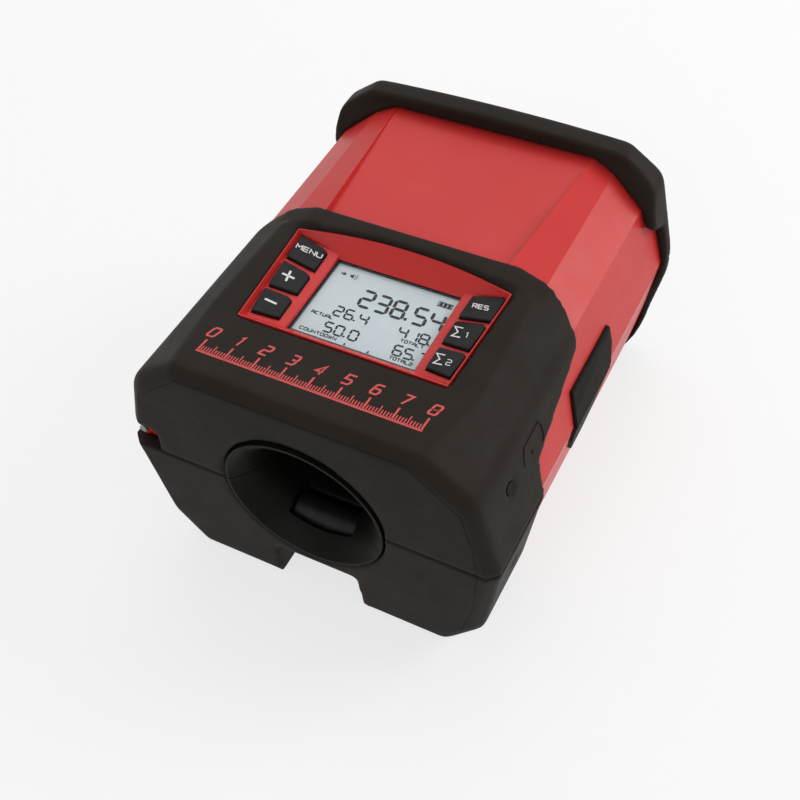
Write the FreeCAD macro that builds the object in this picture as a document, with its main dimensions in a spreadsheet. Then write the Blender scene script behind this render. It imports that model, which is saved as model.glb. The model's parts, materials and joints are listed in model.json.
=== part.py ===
import FreeCAD, Part
import math
import os
import Sketcher
from FreeCAD import Placement, Rotation, Vector

# Cable length counter: a clamshell housing with a display, which opens on a side hinge so that a
# cable can be laid in. The cable runs over waisted rollers and drives a sprung measuring wheel.
# Frame: X to the right of the display, Y to the rear, Z up. The origin is at the centre of the base.
# Heights named "rise" and "drop" are counted up and down from the cable axis. Millimetres.

SIZES = {
    # overall
    "body_half": 81, "end_wall": 5, "axis_height": 54, "parting_gap": 0.3, "fit_gap": 0.15,
    "running_gap": 0.05,
    # black front cap, outer section
    "cap_top_half": 44, "cap_top_rise": 47.8, "cap_shoulder_half": 62.5, "cap_shoulder_rise": 34.5,
    "cap_side_half": 70.5, "cap_hip_half": 63.5, "cap_hip_drop": 38, "cap_foot_step": 1,
    "cap_top_round": 5, "cap_shoulder_round": 14, "cap_side_round": 6, "cap_hip_round": 8,
    "front_bevel": 3.6,
    # the upper front cap is pitched down a little towards its inner end, in degrees
    "cap_pitch": 1.6,
    # deck of the front cap around the display, and the hood behind it
    "deck_start": 4.5, "deck_margin": 1.2, "deck": 2.8, "hood_front_y": -0.5, "hood_low_half": 32,
    "hood_low_rise": 45.2, "hood_top_half": 35.2, "hood_top_rise": 47, "hood_edge_half": 54,
    "hood_edge_rise": 39.2,
    # black rear cap, outer section
    "rear_top_half": 51, "rear_top_rise": 48.5, "rear_crown_rise": 50, "rear_shoulder_half": 64.5,
    "rear_shoulder_rise": 38.5, "rear_side_rise": 6, "rear_top_round": 6, "rear_shoulder_round": 9,
    "rear_side_round": 10, "rear_bevel": 2,
    # red shells
    "shell_top_half": 34.7, "shell_top_rise": 45.6, "shell_strip_half": 48.3,
    "shell_strip_rise": 39.7, "shell_shoulder_half": 61, "shell_shoulder_rise": 30,
    "shell_side_half": 68.5, "shell_hip_half": 61.5, "shell_hip_drop": 37, "foot_room": 2.2,
    "shell_foot_drop": 49, "shell_wall": 2.5,
    "panel_rise": 43, "panel_start": 3, "panel_rear_half": 40.3,
    # cable mouths: a bell which narrows to the throat
    "mouth_radius": 30, "mouth_gap": 0.4, "bell_radius": 29, "throat_radius": 20,
    "bell_depth": 18, "neck_length": 9, "upper_neck": 0.5, "neck_wall": 3.4, "funnel_plate_half": 37,
    "funnel_plate_rise": 30, "funnel_plate": 2, "funnel_screw_x": 33.5, "funnel_screw_z": 14,
    # waisted rollers under the cable
    "roller_top_drop": 19.5, "roller_waist_radius": 5.5, "roller_end_radius": 6, "roller_half": 12,
    "roller_waist_half": 5, "roller_axle_radius": 1.5, "roller_side_gap": 0.6,
    "end_roller_inset": 14, "roller_lug": 2.4, "roller_lug_half": 3.6, "roller_lug_top_drop": 16.5,
    "roller_window_half": 7, "frame_half": 35, "frame_top_drop": 17, "frame_floor": 2,
    "frame_screw_x": 8, "frame_screw_y": 10,
    # notch under each end, for a stand or a rail
    "notch_half": 16, "notch_flare": 1.3, "notch_drop": 34, "notch_depth": 20, "notch_wall": 2.5,
    # side hinge, with the relief cut into the upper half beside it
    "hinge_half": 66, "hinge_rise": 4, "hinge_radius": 3.4, "hinge_pin_radius": 1.5,
    "hinge_pin_end": 77.5, "relief_half": 61.5, "relief_rise": 8.5, "cap_relief_half": 57.5,
    "cap_relief_rise": 10, "knuckle_end": 75, "knuckle_length": 12, "knuckle_gap": 0.4,
    "knuckle_web_half": 67.4, "knuckle_root": 3,
    # grips and catch magnets on the opening side
    "grip_proud": 1.4, "grip_sunk": 1, "magnet_radius": 3.5, "magnet_height": 4, "magnet_x": 60.5,
    "magnet_y": 5, "magnet_half_pitch": 7, "magnet_wall": 1.5, "magnet_sink": 0.2,
    # measuring wheel on its swing arm
    "wheel_radius": 11, "tread": 2.4, "wheel_half": 4, "nip": 5.5, "arm_length": 40,
    "arm_pivot_y": 56, "arm_pivot_rise": 22, "arm_half": 3.5, "arm_boss": 4.8, "arm_inner_half": 7,
    "arm_cheek": 2.5, "arm_tube_radius": 3.4, "arm_pin_radius": 2, "ear_gap": 0.4, "ear": 2.5,
    "ear_half": 4.5, "bearing_radius": 3.2, "bearing_width": 2.5, "wheel_axle_radius": 1.5,
    "magnet_ring_inner": 4, "magnet_ring_outer": 7, "magnet_ring": 1.2, "sensor_board": 1,
    "sensor_half": 4, "spring_wire": 1.5, "spring_gap": 0.25, "spring_half": 5.5, "bracket_plate": 2,
    "bracket_drop": 2.5, "bracket_half": 18.5, "bracket_screw_x": 15.4, "bracket_front": 44,
    # display bezel, sloped inwards from its rim to the keys and the display
    "bezel_rise": 43.3, "bezel_low": 36.8, "bezel_rear_half": 40.6, "bezel_rear_y": -2.3,
    "bezel_bow": 5, "bezel_front_half": 38.4, "bezel_front_y": -46.3, "bezel_rim": 0.3,
    "bezel_flange": 1.2, "bezel_flange_margin": 1.9, "collar_margin": 2.4, "collar_gap": 0.3,
    "tray_half": 39.8, "tray_front_half": 37.8, "tray_rear_y": -5, "tray_front_y": -39.8,
    "well_half": 24, "well_front_y": -42.1, "well_rear_y": -4.8,
    "glass": 0.6, "glass_margin": 0.7, "lcd_frame": 0.8, "lcd_frame_rim": 1.8, "lcd_panel": 0.8,
    "board_rise": 33.6, "board": 1.6, "board_half": 39, "board_front_y": -47.8, "board_rear_y": 1.4,
    "post_radius": 2.2, "post_x": 20, "post_rear_y": -0.9, "post_front_y": -45.6,
    "buzzer_radius": 6, "buzzer_height": 4, "buzzer_x": 26, "buzzer_y": -14,
    # keys
    "key_inner_half": 27.4, "key_inner_rise": 40, "key_outer_rise": 41.8, "key_stand": 1.35,
    "key_gap": 0.25, "key_flange": 0.8, "key_flange_gap": 0.1, "key_flange_margin": 0.45,
    "key_corner": 1.2, "key_travel": 0.9, "mat_gap": 0.3, "mat_margin": 0.5,
    # batteries
    "cell_radius": 7.25, "cell_length": 50.5, "cell_gap": 0.4, "cell_lift": 0.3, "holder_wall": 1,
    "holder_clear": 0.6, "contact": 1, "contact_gap": 0.2, "cover": 2, "cover_step": 1,
    "cover_margin": 1.2, "cover_tab": 6.5, "cover_screw_inset": 3.4,
    # screws
    "screw_radius": 1.25, "head_radius": 2.2, "head_height": 1.3, "head_gap": 0.3, "boss_radius": 3.2,
    "short_screw": 1.9, "plate_screw": 5.5, "long_screw": 9, "side_screw_y": -59,
    "side_screw_rise": 20.7, "side_screw_drop": 20, "side_screw": 6, "side_sink": 1.7,
    "side_boss": 9.5, "rear_screw_x": 54.5, "rear_screw_rise": 24.5, "rear_screw_drop": 30.5,
    "rear_boss": 12, "rear_sink": 1.8,
}

# key corners on the right side in rows from the rear: (half width, y) of the outer rear, inner rear,
# inner front and outer front corners
KEY_ROWS = {
    "key_row_1": [(39.1, -3.1), (27.7, -5.0), (27.4, -15.3), (38.8, -14.4)],
    "key_row_2": [(38.4, -16.5), (27.5, -17.6), (27.3, -27.4), (37.6, -28.5)],
    "key_row_3": [(37.8, -30.3), (27.5, -29.9), (27.3, -39.5), (36.8, -41.2)],
}
KEY_NAMES = {-1: ["key_mode", "key_plus", "key_minus"], 1: ["key_clear", "key_total_1", "key_total_2"]}

# outlines seen from the side: (y, rise over the cable axis)
SIDE_LINES = {
    "grip_upper": [(-13, 0), (-11.4, 7), (-10, 13.5), (24, 13.5), (23.2, 7), (18.8, 0)],
    "grip_lower": [(18.8, 0), (8, -16), (2, -20), (-8, -20), (-12, -10), (-13, 0)],
    "front_cap_edge": [(9, 50), (9, 41), (7, 37.5), (2.3, 32.5), (-0.2, 26), (-5, 24), (-39, 12.7),
                       (-42, 0), (-43, -10), (-43, -60)],
    "rear_cap_edge": [(71, 50), (71, 44), (65.4, 30), (66, 22), (74, 18), (74, 0), (77, -30),
                      (60, -46), (60, -60)],
}

doc = FreeCAD.newDocument("cable_length_counter")
sheet = doc.addObject("Spreadsheet::Sheet", "Sheet")
values = {}
pieces = {}


class Size:
    """A length that knows its value and the spreadsheet expression which gives it."""

    def __init__(self, value, text):
        self.value = float(value)
        self.text = text

    def __add__(self, other):
        other = size(other)
        return Size(self.value + other.value, "(%s + %s)" % (self.text, other.text))

    def __sub__(self, other):
        other = size(other)
        return Size(self.value - other.value, "(%s - %s)" % (self.text, other.text))

    def __mul__(self, other):
        other = size(other)
        return Size(self.value * other.value, "(%s * %s)" % (self.text, other.text))

    def __truediv__(self, other):
        other = size(other)
        return Size(self.value / other.value, "(%s / %s)" % (self.text, other.text))

    def __neg__(self):
        return Size(-self.value, "(0 - %s)" % self.text)

    def __radd__(self, other):
        return size(other) + self

    def __rsub__(self, other):
        return size(other) - self

    def __rmul__(self, other):
        return size(other) * self


def size(number):
    """Wraps a plain number, and passes a Size on."""
    if isinstance(number, Size):
        return number
    return Size(number, "(0 - %r)" % -float(number) if number < 0 else repr(float(number)))


def root(value):
    """Square root of a Size."""
    return Size(math.sqrt(value.value), "sqrt(%s)" % value.text)


class Sheet:
    """Gives every size in the spreadsheet as a Size by its name."""

    def __getattr__(self, name):
        return Size(values[name], "Sheet.%s" % name)


S = Sheet()


def fill_sheet():
    """Writes the single sizes and the outline corners into the spreadsheet."""
    values.update(SIZES)
    for name, corners in list(KEY_ROWS.items()) + list(SIDE_LINES.items()):
        for number, (across, along) in enumerate(corners, start=1):
            values["%s_across_%d" % (name, number)] = across
            values["%s_along_%d" % (name, number)] = along
    for row, (name, value) in enumerate(values.items(), start=1):
        sheet.set("A%d" % row, name)
        sheet.set("B%d" % row, str(value))
        sheet.setAlias("B%d" % row, name)
    doc.recompute()


def corners_of(name, count):
    """The corners of a listed outline as Sizes."""
    numbers = range(1, count + 1)
    return [
        (getattr(S, "%s_across_%d" % (name, n)), getattr(S, "%s_along_%d" % (name, n)))
        for n in numbers
    ]


def bind(thing, path, value):
    """Sets a property by the spreadsheet expression of a size."""
    thing.setExpression(path, size(value).text)


def up(rise):
    """Height above the base of a rise over the cable axis."""
    return S.axis_height + rise


ALONG = {
    "x": Rotation(Vector(0, 1, 0), 90),
    "y": Rotation(Vector(1, 0, 0), -90),
    "z": Rotation(),
}


def place(thing, x, y, z, rotation=None):
    if rotation is not None:
        thing.Placement = Placement(Vector(0, 0, 0), rotation)
    for axis, value in zip("xyz", (x, y, z)):
        bind(thing, "Placement.Base." + axis, value)
    return thing


def ordered(*pair):
    """The values in rising order."""
    return tuple(sorted(pair, key=lambda value: size(value).value))


def block(x, y, z):
    """A box between two values on each axis, given in either order."""
    box = doc.addObject("Part::Box", "block")
    x, y, z = ordered(*x), ordered(*y), ordered(*z)
    for name, (low, high) in zip(("Length", "Width", "Height"), (x, y, z)):
        bind(box, name, size(high) - low)
    return place(box, x[0], y[0], z[0])


def rod(direction, radius, ends, x=0, y=0, z=0):
    """A cylinder along one axis between two values, its centre given by the other two axes."""
    cylinder = doc.addObject("Part::Cylinder", "rod")
    low, high = ordered(*ends)
    bind(cylinder, "Radius", radius)
    bind(cylinder, "Height", size(high) - low)
    at = {"x": x, "y": y, "z": z}
    at[direction] = low
    return place(cylinder, at["x"], at["y"], at["z"], ALONG[direction])


def boolean(kind, prop, parts):
    result = doc.addObject(kind, kind.split("::")[1])
    setattr(result, prop, parts)
    return result


def join(*parts):
    """One solid from several."""
    if len(parts) == 1:
        return parts[0]
    result = boolean("Part::MultiFuse", "Shapes", list(parts))
    result.Refine = True
    return result


def common(*parts):
    """What all the parts share."""
    return boolean("Part::MultiCommon", "Shapes", list(parts))


def group(*parts):
    """Several separate solids as one object."""
    return boolean("Part::Compound", "Links", list(parts))


def cut(base, *tools):
    """The base less each of the tools."""
    result = doc.addObject("Part::Cut", "cut")
    result.Base = base
    result.Tool = tools[0] if len(tools) == 1 else group(*tools)
    result.Refine = True
    return result


PLANES = {"x": "YZ_Plane", "y": "XZ_Plane", "z": "XY_Plane"}


def origin_plane(body, direction):
    return [feature for feature in body.Origin.OriginFeatures if feature.Role == PLANES[direction]][0]


def spot(point):
    return Vector(size(point[0]).value, size(point[1]).value, 0)


def outline_sketch(body, direction, points, level):
    """A closed outline on the plane across one axis, each corner held by two sizes.
    A corner written (across, along, True) lies on an arc between the corners beside it."""
    sketch = body.newObject("Sketcher::SketchObject", "Sketch")
    sketch.AttachmentSupport = (origin_plane(body, direction), [""])
    sketch.MapMode = "FlatFace"
    bind(sketch, "AttachmentOffset.Base.z", level)
    edges = []
    for index, point in enumerate(points):
        if len(point) == 3:
            continue
        middle = points[(index + 1) % len(points)]
        if len(middle) == 2:
            edge = sketch.addGeometry(Part.LineSegment(spot(point), spot(middle)), False)
            edges.append((edge, 1, 2, point))
            continue
        end = points[(index + 2) % len(points)]
        arc = Part.Arc(spot(point), spot(middle), spot(end))
        turn = (spot(middle) - spot(point)).cross(spot(end) - spot(middle)).z
        edge = sketch.addGeometry(arc, False)
        edges.append((edge, 1, 2, point) if turn > 0 else (edge, 2, 1, point))
        mark = sketch.addGeometry(Part.Point(spot(middle)), True)
        hold_point(sketch, mark, 1, middle)
        sketch.addConstraint(Sketcher.Constraint("PointOnObject", mark, 1, edge))
    for index, (edge, first, last, point) in enumerate(edges):
        following, start = edges[(index + 1) % len(edges)][:2]
        sketch.addConstraint(Sketcher.Constraint("Coincident", edge, last, following, start))
        hold_point(sketch, edge, first, point)
    return sketch


def hold_point(sketch, edge, end, point):
    """Fixes one end of an edge by its two distances from the sketch origin."""
    for kind, value in zip(("DistanceX", "DistanceY"), point[:2]):
        held = Sketcher.Constraint(kind, -1, 1, edge, end, size(value).value)
        bind(sketch, "Constraints[%d]" % sketch.addConstraint(held), value)


def prism(direction, points, ends):
    """An outline carried along one axis: (y, z) across X, (x, z) across Y, (x, y) across Z."""
    low, high = ordered(*ends)
    body = doc.addObject("PartDesign::Body", "prism")
    pad = body.newObject("PartDesign::Pad", "Pad")
    pad.Profile = outline_sketch(body, direction, points, -size(high) if direction == "y" else low)
    bind(pad, "Length", size(high) - low)
    body.Tip = pad
    return body


def turned(direction, profile, x=0, y=0, z=0):
    """A profile of (along, radius) points turned about an axis through the given centre."""
    body = doc.addObject("PartDesign::Body", "turned")
    revolution = body.newObject("PartDesign::Revolution", "Revolution")
    sketch = outline_sketch(body, "z", profile, 0)
    revolution.Profile = sketch
    revolution.ReferenceAxis = (sketch, ["H_Axis"])
    revolution.Angle = 360
    body.Tip = revolution
    spin = {"x": Rotation(), "y": Rotation(Vector(0, 0, 1), 90), "z": Rotation(Vector(0, 1, 0), -90)}
    return place(body, x, y, z, spin[direction])


def dress(body, kind, prop, value, chosen):
    """Rounds or chamfers the edges of a body which the test picks."""
    doc.recompute()
    before = body.Tip
    names = ["Edge%d" % n for n, edge in enumerate(before.Shape.Edges, start=1) if chosen(edge)]
    feature = body.newObject(kind, kind.split("::")[1])
    feature.Base = (before, names)
    bind(feature, prop, value)
    body.Tip = feature


def round_corner(body, corner, radius):
    """Rounds the edges along Y through one corner of a section, on both sides."""
    x, z = corner

    def chosen(edge):
        first, last = edge.Vertexes[0].Point, edge.Vertexes[-1].Point
        straight = abs(abs(last.y - first.y) - (last - first).Length) < 1e-6 and edge.Length > 1e-3
        return straight and abs(abs(first.x) - x.value) < 0.01 and abs(first.z - size(z).value) < 0.01

    dress(body, "PartDesign::Fillet", "Radius", radius, chosen)


def bevel_end(body, y, bevel):
    """Chamfers the outline of the end face at one value of Y."""
    def chosen(edge):
        return all(abs(corner.Point.y - y.value) < 1e-4 for corner in edge.Vertexes)

    dress(body, "PartDesign::Chamfer", "Size", bevel, chosen)


def thin_walls(solid, wall, open_faces):
    """The solid hollowed to an even wall, with the faces which the test picks left open."""
    doc.recompute()
    names = ["Face%d" % n for n, face in enumerate(solid.Shape.Faces, start=1) if open_faces(face)]
    shell = doc.addObject("Part::Thickness", "walls")
    shell.Faces = (solid, names)
    bind(shell, "Value", -wall)
    shell.Join = 2
    return shell


def mirrored(right):
    """The right half of an outline, from its top to its foot, completed with its mirror image."""
    return list(right) + [(-size(x), z) for x, z in reversed(right)]


def piece(name, thing):
    """Names a finished sub-part."""
    thing.Label = name
    pieces[name] = thing
    return thing


fill_sheet()
FRONT, REAR = -1, 1
FAR = 120
half_gap = S.parting_gap / 2
shell_end = S.body_half - S.end_wall


def above():
    """Everything over the parting plane."""
    return block((-FAR, FAR), (-FAR, FAR), (up(half_gap), up(FAR)))


def below():
    """Everything under the parting plane."""
    return block((-FAR, FAR), (-FAR, FAR), (up(-FAR), up(-half_gap)))


# ---------------------------------------------------------------- batteries and the width of the foot

# the cells lie side by side beside the roller frame and load through the base, which is wide enough
# for their holder
frame_outer = S.roller_half + S.roller_side_gap + S.roller_lug
floor_drop = S.shell_foot_drop - S.shell_wall
holder_left = frame_outer + S.holder_clear
bay_left = holder_left + S.holder_wall
cell_x = [bay_left + S.cell_gap + S.cell_radius, bay_left + S.cell_gap * 2 + S.cell_radius * 3]
bay_right = cell_x[1] + S.cell_radius + S.cell_gap
bay_half = S.cell_length / 2 + S.contact_gap + S.contact + S.contact_gap
cell_rise = -floor_drop + S.cell_lift + S.cell_radius
bay_top = cell_rise + S.cell_radius + S.cell_gap
cover_screw_y = -bay_half - S.cover_margin - S.cover_tab + S.cover_screw_inset
cover_screw_x = (bay_left + bay_right) / 2
foot_half = bay_right + S.holder_wall + S.foot_room

# ---------------------------------------------------------------- sections of the housing

def side_half(rise):
    """Half width of the shells at a height over the cable axis."""
    return S.shell_side_half - (S.shell_side_half - S.shell_shoulder_half) * rise / S.shell_shoulder_rise


def low_side_half(drop):
    """Half width of the shells at a depth under the cable axis."""
    return S.shell_side_half - (S.shell_side_half - S.shell_hip_half) * drop / S.shell_hip_drop


strip_run = (S.shell_strip_half - S.shell_top_half) / (S.shell_top_rise - S.shell_strip_rise)
panel_edge_half = S.shell_top_half + (S.shell_top_rise - S.panel_rise) * strip_run


def upper_section():
    """Section of the upper shell, with the relief for the hinge at its lower left corner."""
    right = [
        (panel_edge_half, up(S.panel_rise)),
        (S.shell_strip_half, up(S.shell_strip_rise)),
        (S.shell_shoulder_half, up(S.shell_shoulder_rise)),
    ]
    foot = [
        (side_half(half_gap), up(half_gap)),
        (-S.relief_half, up(half_gap)),
        (-S.relief_half, up(S.relief_rise)),
        (-side_half(S.relief_rise), up(S.relief_rise)),
    ]
    return right + foot + [(-x, z) for x, z in reversed(right)]


def lower_section():
    return mirrored([
        (low_side_half(half_gap), up(-half_gap)),
        (S.shell_hip_half, up(-S.shell_hip_drop)),
        (foot_half, up(-S.shell_foot_drop)),
    ])


def strips():
    """The two raised strips beside the sunk panel, which runs out towards the rear."""
    slope = [
        (S.shell_top_half, up(S.shell_top_rise)),
        (panel_edge_half, up(S.panel_rise)),
    ]
    ridge = prism("y", mirrored(slope), (S.panel_start, shell_end))
    rear_half = S.panel_rear_half
    panel = [
        (-S.shell_top_half, S.panel_start - 1),
        (S.shell_top_half, S.panel_start - 1),
        (rear_half, shell_end + 1),
        (-rear_half, shell_end + 1),
    ]
    return cut(ridge, prism("z", panel, (up(S.panel_rise - 1), up(S.shell_top_rise + 1))))


def shell_blank(section):
    return prism("y", section, (-shell_end, shell_end))


def cap_section():
    return [
        (S.cap_top_half, up(S.cap_top_rise)),
        (S.cap_shoulder_half, up(S.cap_shoulder_rise)),
        (S.cap_side_half, up(0)),
        (S.cap_hip_half, up(-S.cap_hip_drop)),
        (foot_half + S.cap_foot_step, size(0)),
    ]


def rear_section():
    """Section of the rear cap, without the crown of its top."""
    return [
        (S.rear_top_half, up(S.rear_top_rise)),
        (S.rear_shoulder_half, up(S.rear_shoulder_rise)),
        (S.cap_side_half, up(S.rear_side_rise)),
        (S.cap_side_half, up(-S.rear_side_rise)),
        (S.cap_hip_half, up(-S.cap_hip_drop)),
        (foot_half + S.cap_foot_step, size(0)),
    ]


def cap_blank(corners, rounds, ends, bevel, crown=()):
    """A solid end cap with its long edges rounded and its end face bevelled, crowned if asked."""
    body = prism("y", mirrored(corners) + list(crown), ends)
    for corner, radius in zip(corners, rounds):
        round_corner(body, corner, radius)
    bevel_end(body, size(ends[0]), bevel)
    return body


def pitched(body, degrees):
    """The body turned down towards the rear, about the middle of the front face."""
    turn = math.radians(degrees.value)
    y, z = -S.body_half, up(0)
    base_y = y - y * math.cos(turn) - z * math.sin(turn)
    base_z = z + y * math.sin(turn) - z * math.cos(turn)
    return place(body, 0, base_y, base_z, Rotation(Vector(1, 0, 0), -degrees.value))


def side_region(points, far_y):
    """A slab right across X, bounded by a line of (y, z) points and closed at a far value of Y."""
    closed = list(points) + [(far_y, points[-1][1]), (far_y, points[0][1])]
    return prism("x", closed, (-FAR, FAR))


def cap_edge(name, count, far_y):
    """What lies beyond the inner edge of an end cap."""
    line = [(y, up(rise)) for y, rise in corners_of(name, count)]
    return side_region(line, size(far_y))


# ---------------------------------------------------------------- mouths, notches and side screws

def mouth(end):
    return rod("y", S.mouth_radius + S.mouth_gap, (end * (shell_end - 1), end * (S.body_half + 1)), z=up(0))


def notch_box(end):
    """The boxed ceiling and sides around the notch under one end."""
    half = S.notch_half + S.notch_flare + S.notch_wall
    inner = S.body_half - S.notch_depth - S.notch_wall
    return block((-half, half), (end * inner, end * (S.body_half - 1)), (0, up(-S.notch_drop + S.notch_wall)))


def notch(end):
    sides = [
        (S.notch_half, up(-S.notch_drop)),
        (S.notch_half + S.notch_flare, size(-1)),
    ]
    return prism("y", mirrored(sides), (end * (S.body_half - S.notch_depth), end * (S.body_half + 1)))


def notch_room(end):
    """Room in the lower shell for the notch box."""
    half = S.notch_half + S.notch_flare + S.notch_wall + S.collar_gap
    inner = S.body_half - S.notch_depth - S.notch_wall - S.collar_gap
    top = up(-S.notch_drop + S.notch_wall + S.collar_gap)
    return block((-half, half), (end * inner, end * FAR), (-1, top))


def side_rod(side, rise, radius, ends):
    """A rod square to the side of the front cap, its ends counted inwards from the cap surface."""
    upper = rise.value > 0
    run = S.cap_side_half - (S.cap_shoulder_half if upper else S.cap_hip_half)
    height = S.cap_shoulder_rise if upper else S.cap_hip_drop
    surface = S.cap_side_half - run * (rise if upper else -rise) / height
    length = root(run * run + height * height)
    out_x = height / length
    out_z = run / length if upper else -(run / length)
    near, far = ordered(*ends)
    cylinder = doc.addObject("Part::Cylinder", "rod")
    bind(cylinder, "Radius", radius)
    bind(cylinder, "Height", size(far) - near)
    tilt = math.degrees(math.atan2(out_z.value, out_x.value))
    turn = Rotation(Vector(0, 1, 0), side * (-90 - tilt))
    return place(
        cylinder,
        side * (surface - out_x * near),
        S.side_screw_y,
        up(rise - out_z * near),
        turn,
    )


def rear_rod(side, rise, radius, ends):
    return rod("y", radius, ends, x=side * S.rear_screw_x, z=up(rise))


def screw(direction, seat, tip, **centre):
    """A screw from the seat of its head to its tip."""
    way = 1 if size(tip).value > size(seat).value else -1
    head = rod(direction, S.head_radius, (seat, seat - way * S.head_height), **centre)
    return join(head, rod(direction, S.screw_radius, (seat - way * 0.2, tip), **centre))


def side_screw(side, rise):
    head = side_rod(side, rise, S.head_radius, (S.side_sink - S.head_height, S.side_sink))
    shank = side_rod(side, rise, S.screw_radius, (S.side_sink - 0.2, S.side_sink + S.side_screw))
    return join(head, shank)


def side_screw_hole(side, rise):
    head = side_rod(side, rise, S.head_radius + S.head_gap, (-2, S.side_sink))
    ends = (S.side_sink - 0.2, S.side_sink + S.side_screw + 1)
    return join(head, side_rod(side, rise, S.screw_radius + S.running_gap, ends))


def rear_seat():
    return S.body_half - S.rear_sink


def rear_screw(side, rise):
    return screw("y", rear_seat(), rear_seat() - S.long_screw, x=side * S.rear_screw_x, z=up(rise))


def rear_screw_hole(side, rise):
    head = rear_rod(side, rise, S.head_radius + S.head_gap, (rear_seat(), S.body_half + 1))
    ends = (rear_seat() + 0.2, rear_seat() - S.long_screw - 1)
    return join(head, rear_rod(side, rise, S.screw_radius + S.running_gap, ends))


def screw_boss(side, rise):
    """Boss behind one rear screw, with a web to the side wall."""
    start = shell_end - S.rear_boss
    barrel = rear_rod(side, rise, S.boss_radius, (start, shell_end))
    wall = side_half(rise) if rise.value > 0 else low_side_half(-rise)
    web = block(
        (side * S.rear_screw_x, side * (wall - S.shell_wall * 0.6)),
        (start, shell_end),
        (up(rise - 1.5), up(rise + 1.5)),
    )
    return join(barrel, web)


def funnel_screw_spots(sign):
    return [(side * S.funnel_screw_x, up(sign * S.funnel_screw_z)) for side in (1, -1)]


def funnel_screw_holes(end, sign):
    ends = (end * (shell_end - S.funnel_plate - 1), end * (S.body_half - 1.2))
    return [rod("y", S.screw_radius + S.running_gap, ends, x=x, z=z) for x, z in funnel_screw_spots(sign)]


def funnel_screws(sign):
    seat = shell_end - S.funnel_plate
    return [
        screw("y", end * seat, end * (seat + S.plate_screw), x=x, z=z)
        for end in (FRONT, REAR)
        for x, z in funnel_screw_spots(sign)
    ]


# ---------------------------------------------------------------- lower shell with hinge knuckles

hinge_at = {"x": -S.hinge_half, "z": up(S.hinge_rise)}
upper_knuckle_end = S.knuckle_end - S.knuckle_length - S.knuckle_gap


def knuckle(ends):
    return rod("y", S.hinge_radius, ends, **hinge_at)


def pin_bore():
    return rod("y", S.hinge_pin_radius + S.running_gap, (-FAR, FAR), **hinge_at)


def lower_knuckles():
    """Knuckles at both ends and in the middle, each on a web from the lower shell."""
    outer_start = S.knuckle_end - S.knuckle_length
    spans = [
        (-S.knuckle_end, -outer_start),
        (-S.knuckle_length, S.knuckle_length),
        (outer_start, S.knuckle_end),
    ]
    web_x = (-S.knuckle_web_half, -S.hinge_half + S.knuckle_root)
    web_z = (up(-S.knuckle_root), up(S.hinge_rise))
    return [thing for ends in spans for thing in (knuckle(ends), block(web_x, ends, web_z))]


def upper_knuckles():
    """Knuckles on the upper shell, inside the outer ones of the lower shell."""
    made = []
    for end in (FRONT, REAR):
        ends = (end * (upper_knuckle_end - S.knuckle_length), end * upper_knuckle_end)
        web = block((-S.hinge_half, -S.relief_half + 1), ends, (up(S.hinge_rise), up(S.relief_rise + 0.5)))
        made += [knuckle(ends), web]
    return made


def magnet_spots():
    return [S.magnet_y + S.magnet_half_pitch, S.magnet_y - S.magnet_half_pitch]


def magnet_block(sign):
    """A block beside the side wall which holds the two catch magnets of one half."""
    reach = S.magnet_radius + S.magnet_wall
    wall = side_half(S.magnet_height) if sign > 0 else low_side_half(S.magnet_height)
    deep = half_gap + S.magnet_sink + S.magnet_height + S.magnet_wall
    return block(
        (S.magnet_x - reach, wall - S.shell_wall * 0.6),
        (S.magnet_y - S.magnet_half_pitch - reach, S.magnet_y + S.magnet_half_pitch + reach),
        (up(sign * half_gap), up(sign * deep)),
    )


def magnets(sign, spare=0):
    """The two catch magnets of one half, or their pockets when made larger by a spare gap."""
    near = half_gap + S.magnet_sink
    ends = (up(sign * (near - (2 if spare else 0))), up(sign * (near + S.magnet_height)))
    return [rod("z", S.magnet_radius + spare, ends, x=S.magnet_x, y=y) for y in magnet_spots()]


GRIP_NAMES = {1: "grip_upper", -1: "grip_lower"}


def grip_outline(sign, spare):
    """One half of the grip seen from the side, widened by a spare gap on its free edges."""
    line = []
    for y, rise in corners_of(GRIP_NAMES[sign], 6):
        wide_y = y + spare if y.value > 0 else y - spare
        line.append((wide_y, up(rise + sign * spare) if rise.value else up(0)))
    return prism("x", line, (0, FAR))


def grip_layer(sign, outer):
    """A layer along the opening side of one half, from the sunk floor of the grip to outer."""
    half = side_half if sign > 0 else low_side_half
    foot, top = size(-2), size(25)
    corners = [(half(foot) + outer, foot), (half(foot) - S.grip_sunk, foot)]
    corners += [(half(top) - S.grip_sunk, top), (half(top) + outer, top)]
    return prism("y", [(x, up(sign * rise)) for x, rise in corners], (-FAR / 2, FAR / 2))


def grip(sign):
    side = above() if sign > 0 else below()
    return common(grip_outline(sign, size(0)), grip_layer(sign, S.grip_proud), side)


def grip_pocket(sign):
    return common(grip_outline(sign, S.fit_gap), grip_layer(sign, size(5)))


def bay(spare, ends):
    return block((bay_left - spare, bay_right + spare), (-bay_half - spare, bay_half + spare), ends)


def cover_plate(spare, ends):
    margin = S.cover_margin + spare
    return block(
        (bay_left - margin, bay_right + margin),
        (-bay_half - margin - S.cover_tab, bay_half + margin),
        ends,
    )


def vertical_screw_hole(x, y, ends):
    return rod("z", S.screw_radius + S.running_gap, ends, x=x, y=y)


def screw_holes(spots, ends):
    """Upright screw holes at several (x, y) spots."""
    return [vertical_screw_hole(x, y, ends) for x, y in spots]


frame_screw_spots = [
    (x * S.frame_screw_x, y * S.frame_screw_y)
    for x in (1, -1)
    for y in (1, -1)
]



def at_end(face):
    """Whether a face of a shell closes one of its ends."""
    return abs(face.CenterOfMass.y) > shell_end.value - 1


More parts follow.
